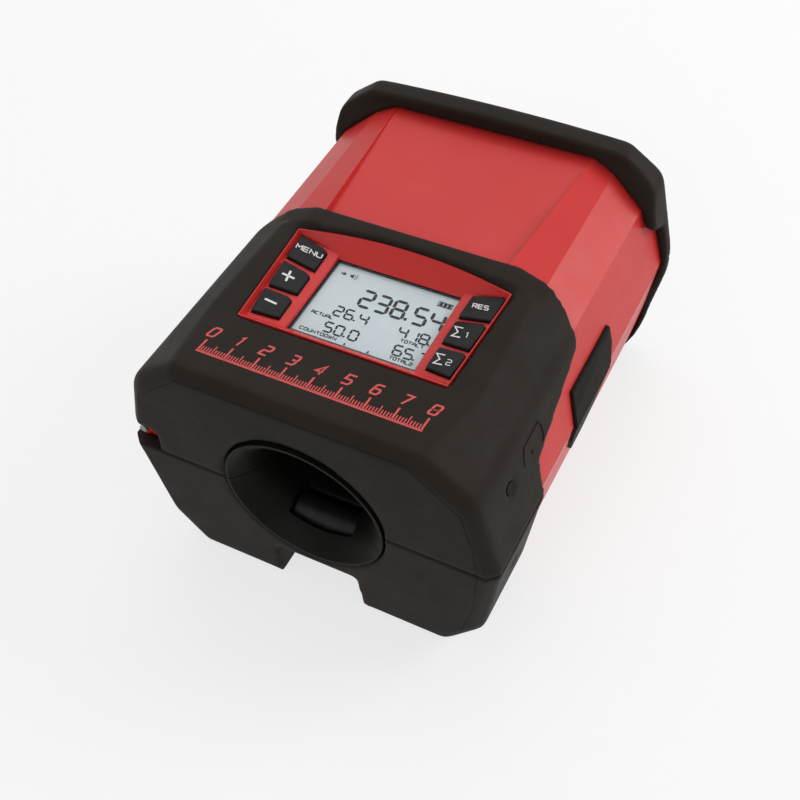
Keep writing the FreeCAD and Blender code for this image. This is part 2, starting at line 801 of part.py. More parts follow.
lower_solid = shell_blank(lower_section())
lower_walls = thin_walls(
    lower_solid,
    S.shell_wall,
    lambda face: at_end(face) or face.CenterOfMass.z > up(-1).value,
)
cover_boss = rod(
    "z", S.boss_radius, (up(-floor_drop - 1), up(-floor_drop + 5)), x=cover_screw_x, y=cover_screw_y,
)


def side_boss(side, rise, half):
    """Boss behind one side screw, in the upper or the lower half."""
    return common(side_rod(side, rise, S.boss_radius, (3, S.side_boss)), half)


lower_body = join(
    lower_walls,
    magnet_block(-1),
    cover_boss,
    *[screw_boss(side, -S.rear_screw_drop) for side in (1, -1)],
    *[side_boss(side, -S.side_screw_drop, below()) for side in (1, -1)],
    *lower_knuckles(),
)
piece("lower_shell", cut(
    lower_body,
    pin_bore(),
    grip_pocket(-1),
    bay(0, (up(-S.shell_foot_drop - 1), up(-floor_drop + 0.5))),
    cover_plate(0, (up(-S.shell_foot_drop - 1), up(-S.shell_foot_drop + S.cover_step))),
    vertical_screw_hole(cover_screw_x, cover_screw_y, (0, up(-floor_drop + 4.5))),
    *[notch_room(end) for end in (FRONT, REAR)],
    *magnets(-1, S.running_gap),
    *[rear_screw_hole(side, -S.rear_screw_drop) for side in (1, -1)],
    *[side_screw_hole(side, -S.side_screw_drop) for side in (1, -1)],
    *screw_holes(frame_screw_spots, (up(-floor_drop - 2), up(-floor_drop + 1))),
))

# ---------------------------------------------------------------- end caps

front_rounds = [S.cap_top_round, S.cap_shoulder_round, S.cap_side_round, S.cap_hip_round]
rear_rounds = [S.rear_top_round, S.rear_shoulder_round, S.rear_side_round, S.rear_side_round, S.cap_hip_round]
front_ends = (-S.body_half, S.front_cap_edge_across_1 + 1)
rear_ends = (S.body_half, S.rear_cap_edge_across_9 - 1)
front_blank = cap_blank(cap_section(), front_rounds, front_ends, S.front_bevel)
level_blank = cap_blank(cap_section(), front_rounds, front_ends, S.front_bevel)
front_upper_blank = pitched(level_blank, S.cap_pitch)
rear_crown = [(size(0), up(S.rear_crown_rise), True)]
rear_blank = cap_blank(rear_section(), rear_rounds, rear_ends, S.rear_bevel, rear_crown)
beyond_front = cap_edge("front_cap_edge", 10, FAR)
beyond_rear = cap_edge("rear_cap_edge", 9, -FAR)


def lower_cap(end, blank, beyond, side_holes):
    walls = cut(common(blank, below()), lower_solid, beyond)
    return cut(join(walls, notch_box(end)), notch(end), mouth(end), *side_holes, *funnel_screw_holes(end, -1))


piece("front_cap_lower", lower_cap(
    FRONT, front_blank, beyond_front,
    [side_screw_hole(side, -S.side_screw_drop) for side in (1, -1)],
))
piece("rear_cap_lower", lower_cap(
    REAR, rear_blank, beyond_rear,
    [rear_screw_hole(side, -S.rear_screw_drop) for side in (1, -1)],
))
piece("cap_screws_lower", group(
    *[side_screw(side, -S.side_screw_drop) for side in (1, -1)],
    *[rear_screw(side, -S.rear_screw_drop) for side in (1, -1)],
))

# ---------------------------------------------------------------- funnels in the mouths

bell = S.bell_radius - S.throat_radius
bell_curve = (S.bell_depth * S.bell_depth + bell * bell) / (2 * bell)
throat_y = S.body_half - S.bell_depth


def funnel(end, neck):
    """A bell with its throat inwards, and a neck behind the throat."""
    middle = S.throat_radius + bell_curve - root(bell_curve * bell_curve - S.bell_depth * S.bell_depth / 4)
    outer = S.throat_radius + S.neck_wall
    shoulder_y = throat_y + S.bell_depth / 2
    profile = [
        (S.body_half, S.mouth_radius),
        (S.body_half, S.bell_radius),
        (throat_y + S.bell_depth / 2, middle, True),
        (throat_y, S.throat_radius),
        (throat_y - neck, S.throat_radius),
        (throat_y - neck, outer),
        (shoulder_y - 2, outer),
        (shell_end - S.funnel_plate, middle + S.neck_wall + 1),
        (shell_end - S.funnel_plate, S.mouth_radius),
    ]
    return turned("y", [(end * point[0], *point[1:]) for point in profile], z=up(0))


def funnel_half(end, sign, neck):
    side = above() if sign > 0 else below()
    plate = block(
        (-S.funnel_plate_half, S.funnel_plate_half),
        (end * (shell_end - S.funnel_plate), end * shell_end),
        (up(sign * half_gap), up(sign * S.funnel_plate_rise)),
    )
    plate = cut(plate, rod("y", S.mouth_radius - 1, (-FAR, FAR), z=up(0)))
    return join(common(funnel(end, neck), side), plate)


def roller_bore(y):
    return rod("x", S.roller_axle_radius + S.running_gap, (-FAR, FAR), y=y, z=up(roller_rise))


roller_rise = -S.roller_top_drop - S.roller_waist_radius
end_roller_y = S.body_half - S.end_roller_inset
lug_inner = S.roller_half + S.roller_side_gap


def lower_funnel(end):
    """The lower half of a funnel, with a window and two lugs for its roller."""
    y = end * end_roller_y
    window = block(
        (-lug_inner, lug_inner),
        (y - S.roller_window_half, y + S.roller_window_half),
        (0, up(-S.roller_top_drop + 5)),
    )
    lugs = [
        block(
            (side * lug_inner, side * frame_outer),
            (y - S.roller_lug_half, y + S.roller_lug_half),
            (up(roller_rise - S.roller_lug_half), up(-S.roller_lug_top_drop)),
        )
        for side in (1, -1)
    ]
    solid = join(funnel_half(end, -1, S.neck_length), *lugs)
    return cut(solid, window, roller_bore(y), *funnel_screw_holes(end, -1))


piece("front_funnel_lower", lower_funnel(FRONT))
piece("rear_funnel_lower", lower_funnel(REAR))
piece("funnel_screws_lower", group(*funnel_screws(-1)))

# ---------------------------------------------------------------- guide rollers and their frame

wheel_rise = roller_rise + S.roller_waist_radius + S.nip + S.wheel_radius
arm_drop = S.arm_pivot_rise - wheel_rise
wheel_y = S.arm_pivot_y - root(S.arm_length * S.arm_length - arm_drop * arm_drop)
ROLLERS = {
    "roller_front": -end_roller_y,
    "roller_front_middle": -wheel_y,
    "roller_rear_middle": wheel_y,
    "roller_rear": end_roller_y,
}


def roller(y):
    bore = S.roller_axle_radius + S.running_gap
    profile = [
        (-S.roller_half, bore),
        (-S.roller_half, S.roller_end_radius),
        (-S.roller_waist_half, S.roller_waist_radius),
        (S.roller_waist_half, S.roller_waist_radius),
        (S.roller_half, S.roller_end_radius),
        (S.roller_half, bore),
    ]
    return turned("x", profile, y=y, z=up(roller_rise))


for name, y in ROLLERS.items():
    piece(name, roller(y))
axles = [
    rod("x", S.roller_axle_radius, (-frame_outer, frame_outer), y=y, z=up(roller_rise))
    for y in ROLLERS.values()
]
piece("roller_axles", group(*axles))

frame_sides = [
    block(
        (side * lug_inner, side * frame_outer),
        (-S.frame_half, S.frame_half),
        (up(-floor_drop), up(-S.frame_top_drop)),
    )
    for side in (1, -1)
]
frame_floor = block(
    (-frame_outer, frame_outer),
    (-S.frame_half, S.frame_half),
    (up(-floor_drop), up(-floor_drop + S.frame_floor)),
)
piece("roller_frame", cut(
    join(frame_floor, *frame_sides),
    roller_bore(wheel_y),
    roller_bore(-wheel_y),
    *screw_holes(frame_screw_spots, (0, up(-FAR / 4))),
))
frame_seat = -floor_drop + S.frame_floor
piece("frame_screws", group(*[
    screw("z", up(frame_seat), up(frame_seat - S.frame_floor - S.short_screw), x=x, y=y)
    for x, y in frame_screw_spots
]))

# ---------------------------------------------------------------- hinge pin, grips and magnets

piece("hinge_pin", rod("y", S.hinge_pin_radius, (-S.hinge_pin_end, S.hinge_pin_end), **hinge_at))
piece("grip_lower", grip(-1))
piece("grip_upper", grip(1))
piece("catch_magnets_lower", group(*magnets(-1)))
piece("catch_magnets_upper", group(*magnets(1)))

# ---------------------------------------------------------------- batteries

holder_wall = S.holder_wall
holder_outside = block(
    (holder_left, bay_right + holder_wall),
    (-bay_half - holder_wall, bay_half + holder_wall),
    (up(-floor_drop), up(bay_top + holder_wall)),
)
piece("battery_holder", cut(holder_outside, bay(0, (0, up(bay_top)))))
for number, x in enumerate(cell_x, start=1):
    half = S.cell_length / 2
    piece("battery_cell_%d" % number, rod("y", S.cell_radius, (-half, half), x=x, z=up(cell_rise)))
contact_far = bay_half - S.contact_gap
piece("battery_contacts", group(*[
    block(
        (bay_left + 1.5, bay_right - 1.5),
        (end * (contact_far - S.contact), end * contact_far),
        (up(cell_rise - 5), up(cell_rise + 5)),
    )
    for end in (FRONT, REAR)
]))
cover_low = -S.shell_foot_drop
cover_body = join(
    cover_plate(-S.fit_gap, (up(cover_low), up(cover_low + S.cover_step))),
    bay(-S.fit_gap, (up(cover_low), up(cover_low + S.cover))),
)
cover_hole = vertical_screw_hole(cover_screw_x, cover_screw_y, (0, up(0)))
piece("battery_cover", cut(cover_body, cover_hole))
piece("battery_cover_screw", screw(
    "z", up(cover_low), up(cover_low + S.plate_screw), x=cover_screw_x, y=cover_screw_y,
))

# ---------------------------------------------------------------- bezel outlines

def bezel_outline(margin, ends):
    """The outline of the display bezel, bowed at the rear, widened by a margin."""
    rear = S.bezel_rear_y + margin * 0.5
    front = S.bezel_front_y - margin
    return prism("z", [
        (S.bezel_front_half + margin, front),
        (S.bezel_rear_half + margin, rear),
        (size(0), S.bezel_rear_y + S.bezel_bow + margin, True),
        (-S.bezel_rear_half - margin, rear),
        (-S.bezel_front_half - margin, front),
    ], (ends[0], ends[1]))


key_slope = (S.key_outer_rise - S.key_inner_rise) / (S.key_row_1_across_1 - S.key_inner_half)


def key_level(x, drop):
    """Height of the sloped plane of the key tops at a distance from the middle, less a drop."""
    return up(S.key_inner_rise + key_slope * (x - S.key_inner_half) - drop)


def bezel_dish():
    """The room over the sloped floor: its sides lean out to the rim."""
    body = doc.addObject("PartDesign::Body", "dish")
    rim = S.bezel_rim
    low = [
        (S.tray_front_half, S.tray_front_y),
        (S.tray_half, S.tray_rear_y),
        (size(0), S.tray_rear_y + 0.01, True),
        (-S.tray_half, S.tray_rear_y),
        (-S.tray_front_half, S.tray_front_y),
    ]
    top = [
        (S.bezel_front_half - rim, S.bezel_front_y + rim),
        (S.bezel_rear_half - rim, S.bezel_rear_y - rim),
        (size(0), S.bezel_rear_y + S.bezel_bow - rim, True),
        (-S.bezel_rear_half + rim, S.bezel_rear_y - rim),
        (-S.bezel_front_half + rim, S.bezel_front_y + rim),
    ]
    lower_sketch = outline_sketch(body, "z", low, up(S.bezel_low))
    upper_sketch = outline_sketch(body, "z", top, up(S.bezel_rise + 0.05))
    doc.recompute()
    loft = body.newObject("PartDesign::AdditiveLoft", "Loft")
    loft.Profile = lower_sketch
    loft.Sections = [upper_sketch]
    loft.Ruled = True
    body.Tip = loft
    over_keys = prism("y", mirrored([
        (FAR / 2, up(S.bezel_rise + 5)),
        (FAR / 2, key_level(size(FAR / 2), S.key_stand)),
        (S.well_half, key_level(S.well_half, S.key_stand)),
        (S.well_half, up(S.bezel_low - 1)),
    ]), (-FAR / 2, FAR / 2))
    return common(body, over_keys)


def key_outline(side, row, margin):
    """Plan of one key, with its rear right corner cut off."""
    outer_rear, inner_rear, inner_front, outer_front = corners_of("key_row_%d" % row, 4)
    wide = {
        "outer_rear": (side * (outer_rear[0] + margin), outer_rear[1] + margin),
        "inner_rear": (side * (inner_rear[0] - margin), inner_rear[1] + margin),
        "inner_front": (side * (inner_front[0] - margin), inner_front[1] - margin),
        "outer_front": (side * (outer_front[0] + margin), outer_front[1] - margin),
    }
    right = "outer" if side > 0 else "inner"
    left = "inner" if side > 0 else "outer"
    x, y = wide[right + "_rear"]
    return [
        wide[left + "_rear"],
        (x - S.key_corner, y),
        (x, y - S.key_corner),
        wide[right + "_front"],
        wide[left + "_front"],
    ]


def every_key():
    return [(side, row) for side in (-1, 1) for row in (1, 2, 3)]


# ---------------------------------------------------------------- upper shell

def upper_screw(x, y, seat, length):
    """A screw driven up from its seat."""
    return screw("z", up(seat), up(seat + length), x=x, y=y)


well_margin = S.collar_margin + S.collar_gap


def under_deck():
    """Where the top of the upper shell is left out under the deck of the front cap."""
    return block((-FAR, FAR), (-FAR, S.panel_start), (up(S.bezel_rise - S.deck), up(FAR)))


bracket_rise = S.panel_rise - S.shell_wall - S.bracket_drop
bracket_rear = S.arm_pivot_y + S.ear_half
bracket_screw_y = S.bracket_front + S.head_radius + 0.8
bracket_spots = [
    (x * S.bracket_screw_x, y)
    for x in (1, -1)
    for y in (bracket_screw_y, bracket_rear - S.head_radius - 0.8)
]
bracket_seat = bracket_rise - S.bracket_plate

upper_solid = shell_blank(upper_section())
upper_walls = thin_walls(
    upper_solid,
    S.shell_wall,
    lambda face: at_end(face) or face.CenterOfMass.z < up(0.5).value,
)
strip_pair = strips()
bracket_bosses = [
    rod("z", S.boss_radius, (up(bracket_rise), up(S.panel_rise - 1)), x=x, y=y)
    for x, y in bracket_spots
]
upper_body = join(
    upper_walls,
    strip_pair,
    magnet_block(1),
    *bracket_bosses,
    *[screw_boss(side, S.rear_screw_rise) for side in (1, -1)],
    *[side_boss(side, S.side_screw_rise, above()) for side in (1, -1)],
    *upper_knuckles(),
)
piece("upper_shell", cut(
    upper_body,
    pin_bore(),
    grip_pocket(1),
    bezel_outline(well_margin, (up(S.bezel_low - 3), up(S.shell_top_rise + 5))),
    under_deck(),
    *magnets(1, S.running_gap),
    *[rear_screw_hole(side, S.rear_screw_rise) for side in (1, -1)],
    *[side_screw_hole(side, S.side_screw_rise) for side in (1, -1)],
    *screw_holes(bracket_spots, (up(bracket_rise - 1), up(bracket_seat + S.plate_screw + 0.4))),
))

# ---------------------------------------------------------------- upper end caps

deck_rise = S.bezel_rise + S.parting_gap / 4


def over_deck():
    """What is cut from above the front cap: the deck slopes down to the display, and the hood behind
    it has a low middle and follows the strips of the shell outwards."""
    start = -S.body_half + S.deck_start
    sky = up(FAR)
    deck = prism("x", [
        (start, up(S.cap_top_rise)),
        (S.bezel_front_y - S.deck_margin, up(deck_rise)),
        (S.hood_front_y, up(deck_rise)),
        (S.hood_front_y, sky),
        (start, sky),
    ], (-FAR, FAR))
    hood = prism("y", [
        (S.hood_low_half, up(S.hood_low_rise)),
        (S.hood_top_half, up(S.hood_top_rise)),
        (S.hood_edge_half, up(S.hood_edge_rise)),
        (S.hood_edge_half, sky),
        (-S.hood_edge_half, sky),
        (-S.hood_edge_half, up(S.hood_edge_rise)),
        (-S.hood_top_half, up(S.hood_top_rise)),
        (-S.hood_low_half, up(S.hood_low_rise)),
    ], (S.hood_front_y, FAR))
    return [deck, hood]


def cap_relief(end):
    """Room in the upper caps beside the hinge."""
    return block(
        (-FAR, -S.cap_relief_half),
        (0, end * FAR),
        (up(-1), up(S.cap_relief_rise)),
    )


def upper_cap(end, blank, beyond, side_holes):
    if end == FRONT:
        collar_low = S.bezel_low + S.key_flange + S.bezel_flange
        collar = bezel_outline(S.collar_margin, (up(collar_low), up(deck_rise)))
        pocket = bezel_outline(S.fit_gap, (up(S.bezel_low), up(S.cap_top_rise + 2)))
        outside = cut(common(blank, above()), *over_deck())
        walls = cut(outside, cut(upper_solid, under_deck()), strip_pair, beyond)
        walls = cut(join(walls, collar), pocket)
    else:
        walls = cut(common(blank, above()), upper_solid, strip_pair, beyond)
    return cut(walls, mouth(end), cap_relief(end), *side_holes, *funnel_screw_holes(end, 1))


piece("front_cap_upper", upper_cap(
    FRONT, front_upper_blank, beyond_front,
    [side_screw_hole(side, S.side_screw_rise) for side in (1, -1)],
))
piece("rear_cap_upper", upper_cap(
    REAR, rear_blank, beyond_rear,
    [rear_screw_hole(side, S.rear_screw_rise) for side in (1, -1)],
))
piece("cap_screws_upper", group(
    *[side_screw(side, S.side_screw_rise) for side in (1, -1)],
    *[rear_screw(side, S.rear_screw_rise) for side in (1, -1)],
))
for end, name in ((FRONT, "front_funnel_upper"), (REAR, "rear_funnel_upper")):
    piece(name, cut(funnel_half(end, 1, S.upper_neck), *funnel_screw_holes(end, 1)))
piece("funnel_screws_upper", group(*funnel_screws(1)))

# ---------------------------------------------------------------- bezel, display and keys

flange_low = S.bezel_low + S.key_flange
post_spots = [(x * S.post_x, y) for x in (1, -1) for y in (S.post_rear_y, S.post_front_y)]
board_low = S.board_rise - S.board
key_low = S.bezel_low - S.key_flange_gap - S.key_flange


def key_prism(side, row, margin, ends):
    return prism("z", key_outline(side, row, margin), ends)


bezel_solid = join(
    bezel_outline(size(0), (up(S.bezel_low), up(S.bezel_rise))),
    bezel_outline(S.bezel_flange_margin, (up(flange_low), up(flange_low + S.bezel_flange))),
    *[rod("z", S.post_radius, (up(S.board_rise), up(S.bezel_low + 1)), x=x, y=y) for x, y in post_spots],
)
through_bezel = (up(S.bezel_low - 1), up(S.bezel_rise + 1))
well = block((-S.well_half, S.well_half), (S.well_front_y, S.well_rear_y), through_bezel)
piece("display_bezel", cut(
    bezel_solid,
    bezel_dish(),
    well,
    *[key_prism(side, row, S.key_gap, through_bezel) for side, row in every_key()],
    *screw_holes(post_spots, (up(board_low), up(S.bezel_low - 0.4))),
))


def display_plate(ends, rim=0):
    """A flat plate under the well of the bezel."""
    margin = S.glass_margin - rim
    return block(
        (-S.well_half - margin, S.well_half + margin),
        (S.well_front_y - margin, S.well_rear_y + margin),
        ends,
    )


glass_low = S.bezel_low - S.glass
frame_low = glass_low - S.lcd_frame
panel_low = frame_low - S.lcd_panel
piece("display_window", display_plate((up(glass_low), up(S.bezel_low))))
piece("lcd_frame", cut(
    display_plate((up(frame_low), up(glass_low))),
    display_plate((up(frame_low - 1), up(glass_low + 1)), S.lcd_frame_rim + S.glass_margin),
))
piece("lcd_panel", display_plate((up(panel_low), up(frame_low))))
piece("lcd_tray", cut(
    display_plate((up(S.board_rise), up(panel_low))),
    display_plate((up(S.board_rise - 1), up(panel_low + 1)), S.glass_margin + 3),
))

board_y = (S.board_front_y, S.board_rear_y)
piece("main_board", cut(
    block((-S.board_half, S.board_half), board_y, (up(board_low), up(S.board_rise))),
    *screw_holes(post_spots, (up(board_low - 1), up(S.board_rise + 1))),
))
piece("board_screws", group(*[
    upper_screw(x, y, board_low, S.bezel_low - 0.8 - board_low)
    for x, y in post_spots
]))
piece("buzzer", rod(
    "z", S.buzzer_radius, (up(board_low - S.buzzer_height), up(board_low)), x=S.buzzer_x, y=S.buzzer_y,
))
piece("keypad_mat", group(*[
    block(
        (side * (S.key_inner_half - S.mat_margin), side * (S.key_row_1_across_1 - S.mat_margin)),
        (S.key_row_3_along_4 - S.mat_margin, S.key_row_1_along_1 - S.mat_margin),
        (up(S.board_rise), up(key_low - S.key_travel - S.mat_gap)),
    )
    for side in (1, -1)
]))

above_keys = prism("y", mirrored([
    (size(FAR / 2), up(S.bezel_rise + 9)),
    (size(FAR / 2), key_level(size(FAR / 2), 0)),
    (S.key_inner_half - 2, key_level(S.key_inner_half - 2, 0)),
]), (-FAR / 2, FAR / 2))
for side, row in every_key():
    cap = key_prism(side, row, size(0), (up(key_low), up(S.bezel_rise + 2)))
    flange = key_prism(side, row, S.key_flange_margin, (up(key_low), up(key_low + S.key_flange)))
    piece(KEY_NAMES[side][row - 1], join(cut(cap, above_keys), flange))

# ---------------------------------------------------------------- swing arm with the measuring wheel

pivot_rise = S.arm_pivot_rise
arm_outer = S.arm_inner_half + S.arm_cheek
ear_inner = arm_outer + S.ear_gap
ear_outer = ear_inner + S.ear


def at_pivot(radius, ends):
    return rod("x", radius, ends, y=S.arm_pivot_y, z=up(pivot_rise))


def at_wheel(radius, ends):
    return rod("x", radius, ends, y=wheel_y, z=up(wheel_rise))


def arm_cheek(side):
    """A flat link from the pivot to the wheel axle."""
    ends = (side * S.arm_inner_half, side * arm_outer)
    run = S.arm_pivot_y - wheel_y
    across_y = S.arm_half * arm_drop / S.arm_length
    across_z = S.arm_half * run / S.arm_length
    link = prism("x", [
        (S.arm_pivot_y - across_y, up(pivot_rise + across_z)),
        (S.arm_pivot_y + across_y, up(pivot_rise - across_z)),
        (wheel_y + across_y, up(wheel_rise - across_z)),
        (wheel_y - across_y, up(wheel_rise + across_z)),
    ], ends)
    return join(link, at_pivot(S.arm_boss, ends), at_wheel(S.arm_half, ends))


piece("swing_arm", cut(
    join(arm_cheek(1), arm_cheek(-1), at_pivot(S.arm_tube_radius, (-arm_outer, arm_outer))),
    at_pivot(S.arm_pin_radius + S.running_gap, (-FAR, FAR)),
    at_wheel(S.wheel_axle_radius + S.running_gap, (-FAR, FAR)),
))
piece("wheel_axle", at_wheel(S.wheel_axle_radius, (-arm_outer, arm_outer)))
rim_radius = S.wheel_radius - S.tread
bearing_seats = [
    at_wheel(S.bearing_radius, (side * (S.wheel_half - S.bearing_width), side * (S.wheel_half + 1)))
    for side in (1, -1)
]
piece("measuring_wheel", cut(
    at_wheel(rim_radius, (-S.wheel_half, S.wheel_half)),
    at_wheel(S.wheel_axle_radius + 0.5, (-FAR, FAR)),
    *bearing_seats,
))
piece("wheel_tread", cut(
    at_wheel(S.wheel_radius, (-S.wheel_half, S.wheel_half)),
    at_wheel(rim_radius, (-FAR, FAR)),
))
piece("wheel_bearings", group(*[
    cut(
        at_wheel(S.bearing_radius, (side * (S.wheel_half - S.bearing_width), side * S.wheel_half)),
        at_wheel(S.wheel_axle_radius + S.running_gap, (-FAR, FAR)),
    )
    for side in (1, -1)
]))
piece("encoder_magnet", cut(
    at_wheel(S.magnet_ring_outer, (S.wheel_half, S.wheel_half + S.magnet_ring)),
    at_wheel(S.magnet_ring_inner, (0, FAR)),
))
piece("sensor_board", cut(
    block(
        (S.arm_inner_half - S.sensor_board, S.arm_inner_half),
        (wheel_y - S.sensor_half, wheel_y + S.sensor_half),
        (up(wheel_rise - S.sensor_half), up(wheel_rise + S.sensor_half)),
    ),
    at_wheel(S.wheel_axle_radius + 0.5, (0, FAR)),
))
ears = [
    block(
        (side * ear_inner, side * ear_outer),
        (S.arm_pivot_y - S.ear_half, S.arm_pivot_y + S.ear_half),
        (up(pivot_rise), up(bracket_rise)),
    )
    for side in (1, -1)
]
ear_ends = [at_pivot(S.ear_half, (side * ear_inner, side * ear_outer)) for side in (1, -1)]
bracket_top = block(
    (-S.bracket_half, S.bracket_half),
    (S.bracket_front, bracket_rear),
    (up(bracket_seat), up(bracket_rise)),
)
piece("arm_bracket", cut(
    join(bracket_top, *ears, *ear_ends),
    at_pivot(S.arm_pin_radius + S.running_gap, (-FAR, FAR)),
    *screw_holes(bracket_spots, (up(bracket_seat - 1), up(bracket_rise + 1))),
))
piece("bracket_screws", group(*[upper_screw(x, y, bracket_seat, S.plate_screw) for x, y in bracket_spots]))
piece("arm_pin", at_pivot(S.arm_pin_radius, (-ear_outer, ear_outer)))

coil_mean = S.arm_tube_radius + S.spring_gap + S.spring_wire / 2
coil = doc.addObject("Part::Helix", "coil")
bind(coil, "Radius", coil_mean)
bind(coil, "Pitch", S.spring_wire * 1.25)
bind(coil, "Height", S.spring_half * 2)
wire_end = doc.addObject("Part::Circle", "wire_end")
bind(wire_end, "Radius", S.spring_wire / 2)
place(wire_end, coil_mean, 0, 0, Rotation(Vector(1, 0, 0), 90))
spring = doc.addObject("Part::Sweep", "spring")
spring.Sections = [wire_end]
spring.Spine = (coil, ["Edge1"])
spring.Solid = True
spring.Frenet = True
place(spring, -S.spring_half, S.arm_pivot_y, up(pivot_rise), ALONG["x"])
piece("arm_spring", spring)

doc.recompute()
faulty = [thing.Label for thing in doc.Objects if any(word in thing.State for word in ("Invalid", "Error"))]
for name, thing in pieces.items():
    if thing.Shape.isNull() or not thing.Shape.isValid():
        faulty.append(name)
if faulty:
    raise RuntimeError("not sound: " + ", ".join(faulty))
os.makedirs("parts", exist_ok=True)
for name, thing in pieces.items():
    thing.Shape.exportStep("parts/%s.step" % name)
print("%d pieces written" % len(pieces))
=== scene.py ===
import json
import math
import bmesh
import bpy
import numpy as np
from mathutils import Matrix, Vector


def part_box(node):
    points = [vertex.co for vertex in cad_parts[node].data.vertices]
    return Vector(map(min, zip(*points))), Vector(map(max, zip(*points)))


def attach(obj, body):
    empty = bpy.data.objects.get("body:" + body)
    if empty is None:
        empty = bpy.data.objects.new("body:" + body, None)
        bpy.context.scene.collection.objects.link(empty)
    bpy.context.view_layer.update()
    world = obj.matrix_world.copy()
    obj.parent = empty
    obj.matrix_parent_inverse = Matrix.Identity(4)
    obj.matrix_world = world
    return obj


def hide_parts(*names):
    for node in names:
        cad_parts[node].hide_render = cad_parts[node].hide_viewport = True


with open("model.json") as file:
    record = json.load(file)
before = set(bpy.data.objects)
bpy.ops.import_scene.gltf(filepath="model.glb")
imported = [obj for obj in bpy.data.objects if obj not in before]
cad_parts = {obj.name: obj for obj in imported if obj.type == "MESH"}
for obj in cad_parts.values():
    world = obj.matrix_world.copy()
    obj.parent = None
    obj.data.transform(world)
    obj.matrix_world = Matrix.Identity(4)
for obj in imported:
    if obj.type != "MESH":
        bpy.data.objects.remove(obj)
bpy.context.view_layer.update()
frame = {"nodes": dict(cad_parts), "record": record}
axisHeight = 0.054    # the cable axis over the base
millimetre = 0.001
bodyOf = {node: body for body, nodes in frame["record"]["behaviour"]["bodies"].items() for node in nodes}
print("frame loaded")


# shader maths: a socket with operators, so that masks read as plain expressions

class Wire:
    def __init__(self, tree, socket):
        self.tree = tree
        self.socket = socket

    def node(self, kind, settings=None, **sockets):
        made = self.tree.nodes.new(kind)
        for name, value in (settings or {}).items():
            if name == "stops":
                fillRamp(made.color_ramp, value)
            else:
                setattr(made, name, value)
        for name, value in sockets.items():
            put(self.tree, findSocket(made, name), value)
        return made

    def sum(self, operation, *values):
        made = self.node("ShaderNodeMath", {"operation": operation})
        for place, value in enumerate(values):
            put(self.tree, made.inputs[place], value)
        return Wire(self.tree, made.outputs[0])

    def __add__(self, other): return self.sum("ADD", self, other)
    def __radd__(self, other): return self.sum("ADD", other, self)
    def __sub__(self, other): return self.sum("SUBTRACT", self, other)
    def __rsub__(self, other): return self.sum("SUBTRACT", other, self)
    def __mul__(self, other): return self.sum("MULTIPLY", self, other)
    def __rmul__(self, other): return self.sum("MULTIPLY", other, self)
    def __truediv__(self, other): return self.sum("DIVIDE", self, other)
    def __pow__(self, other): return self.sum("POWER", self, other)
    def __gt__(self, other): return self.sum("GREATER_THAN", self, other)
    def __lt__(self, other): return self.sum("LESS_THAN", self, other)


def findSocket(node, name):
    if name.startswith("slot"):
        return node.inputs[int(name[4:])]
    return node.inputs[name.replace("_", " ")]


def put(tree, socket, value):
    if isinstance(value, Wire):
        tree.links.new(value.socket, socket)
    else:
        socket.default_value = value


def fillRamp(ramp, stops):
    while len(ramp.elements) < len(stops):
        ramp.elements.new(1.0)
    for element, (place, colour) in zip(ramp.elements, stops):
        element.position = place
        element.color = colour


class Finish(Wire):
    # one material: its tree, its shader and the object coordinates in metres
    def __init__(self, name):
        self.material = bpy.data.materials.new(name)
        self.material.use_nodes = True
        tree = self.material.node_tree
        super().__init__(tree, None)
        self.shader = tree.nodes["Principled BSDF"]
        place = self.node("ShaderNodeTexCoord")
        self.place = Wire(tree, place.outputs["Object"])

    def noise(self, size, detail=3.0, roughness=0.55, stretch=None):
        where = self.place
        if stretch:
            mapping = self.node("ShaderNodeMapping", Vector=where, Scale=stretch)
            where = Wire(self.tree, mapping.outputs[0])
        made = self.node("ShaderNodeTexNoise", Vector=where, Scale=1.0 / size, Detail=detail,
                         Roughness=roughness)
        return Wire(self.tree, made.outputs["Fac"])

    def ramp(self, value, low, high):
        made = self.node("ShaderNodeMapRange", slot0=value, slot1=low, slot2=high)
        return Wire(self.tree, made.outputs[0])

    def tint(self, mask, first, second):
        made = self.node("ShaderNodeMix", {"data_type": "RGBA"})
        for place, value in ((0, mask), (6, first), (7, second)):
            put(self.tree, made.inputs[place], value)
        return Wire(self.tree, made.outputs[2])

    def axis(self, letter):
        made = self.node("ShaderNodeSeparateXYZ", slot0=self.place)
        return Wire(self.tree, made.outputs[letter])

    def relief(self, height, depth, strength=1.0, under=None):
        made = self.node("ShaderNodeBump", Height=height, Distance=depth, Strength=strength)
        if under is not None:
            put(self.tree, made.inputs["Normal"], under)
        return Wire(self.tree, made.outputs[0])

    def set(self, **sockets):
        for name, value in sockets.items():
            put(self.tree, findSocket(self.shader, name), value)
        return self.material


def rgb(red, green, blue):
    return (red, green, blue, 1.0)


def shaded(colour, share):
    return rgb(*(part * share for part in colour[:3]))


def lineDistance(across, upward, corners):
    # the greatest signed distance to the lines through neighbouring corners of a convex outline: the place
    # times the line's outward normal, less the same for the line's first corner
    farthest = None
    for (x0, z0), (x1, z1) in zip(corners, corners[1:]):
        length = math.hypot(x1 - x0, z1 - z0)
        outX, outZ = (z0 - z1) / length, (x1 - x0) / length
        distance = across * outX + upward * outZ - (x0 * outX + z0 * outZ)
        farthest = distance if farthest is None else farthest.sum("MAXIMUM", farthest, distance)
    return farthest


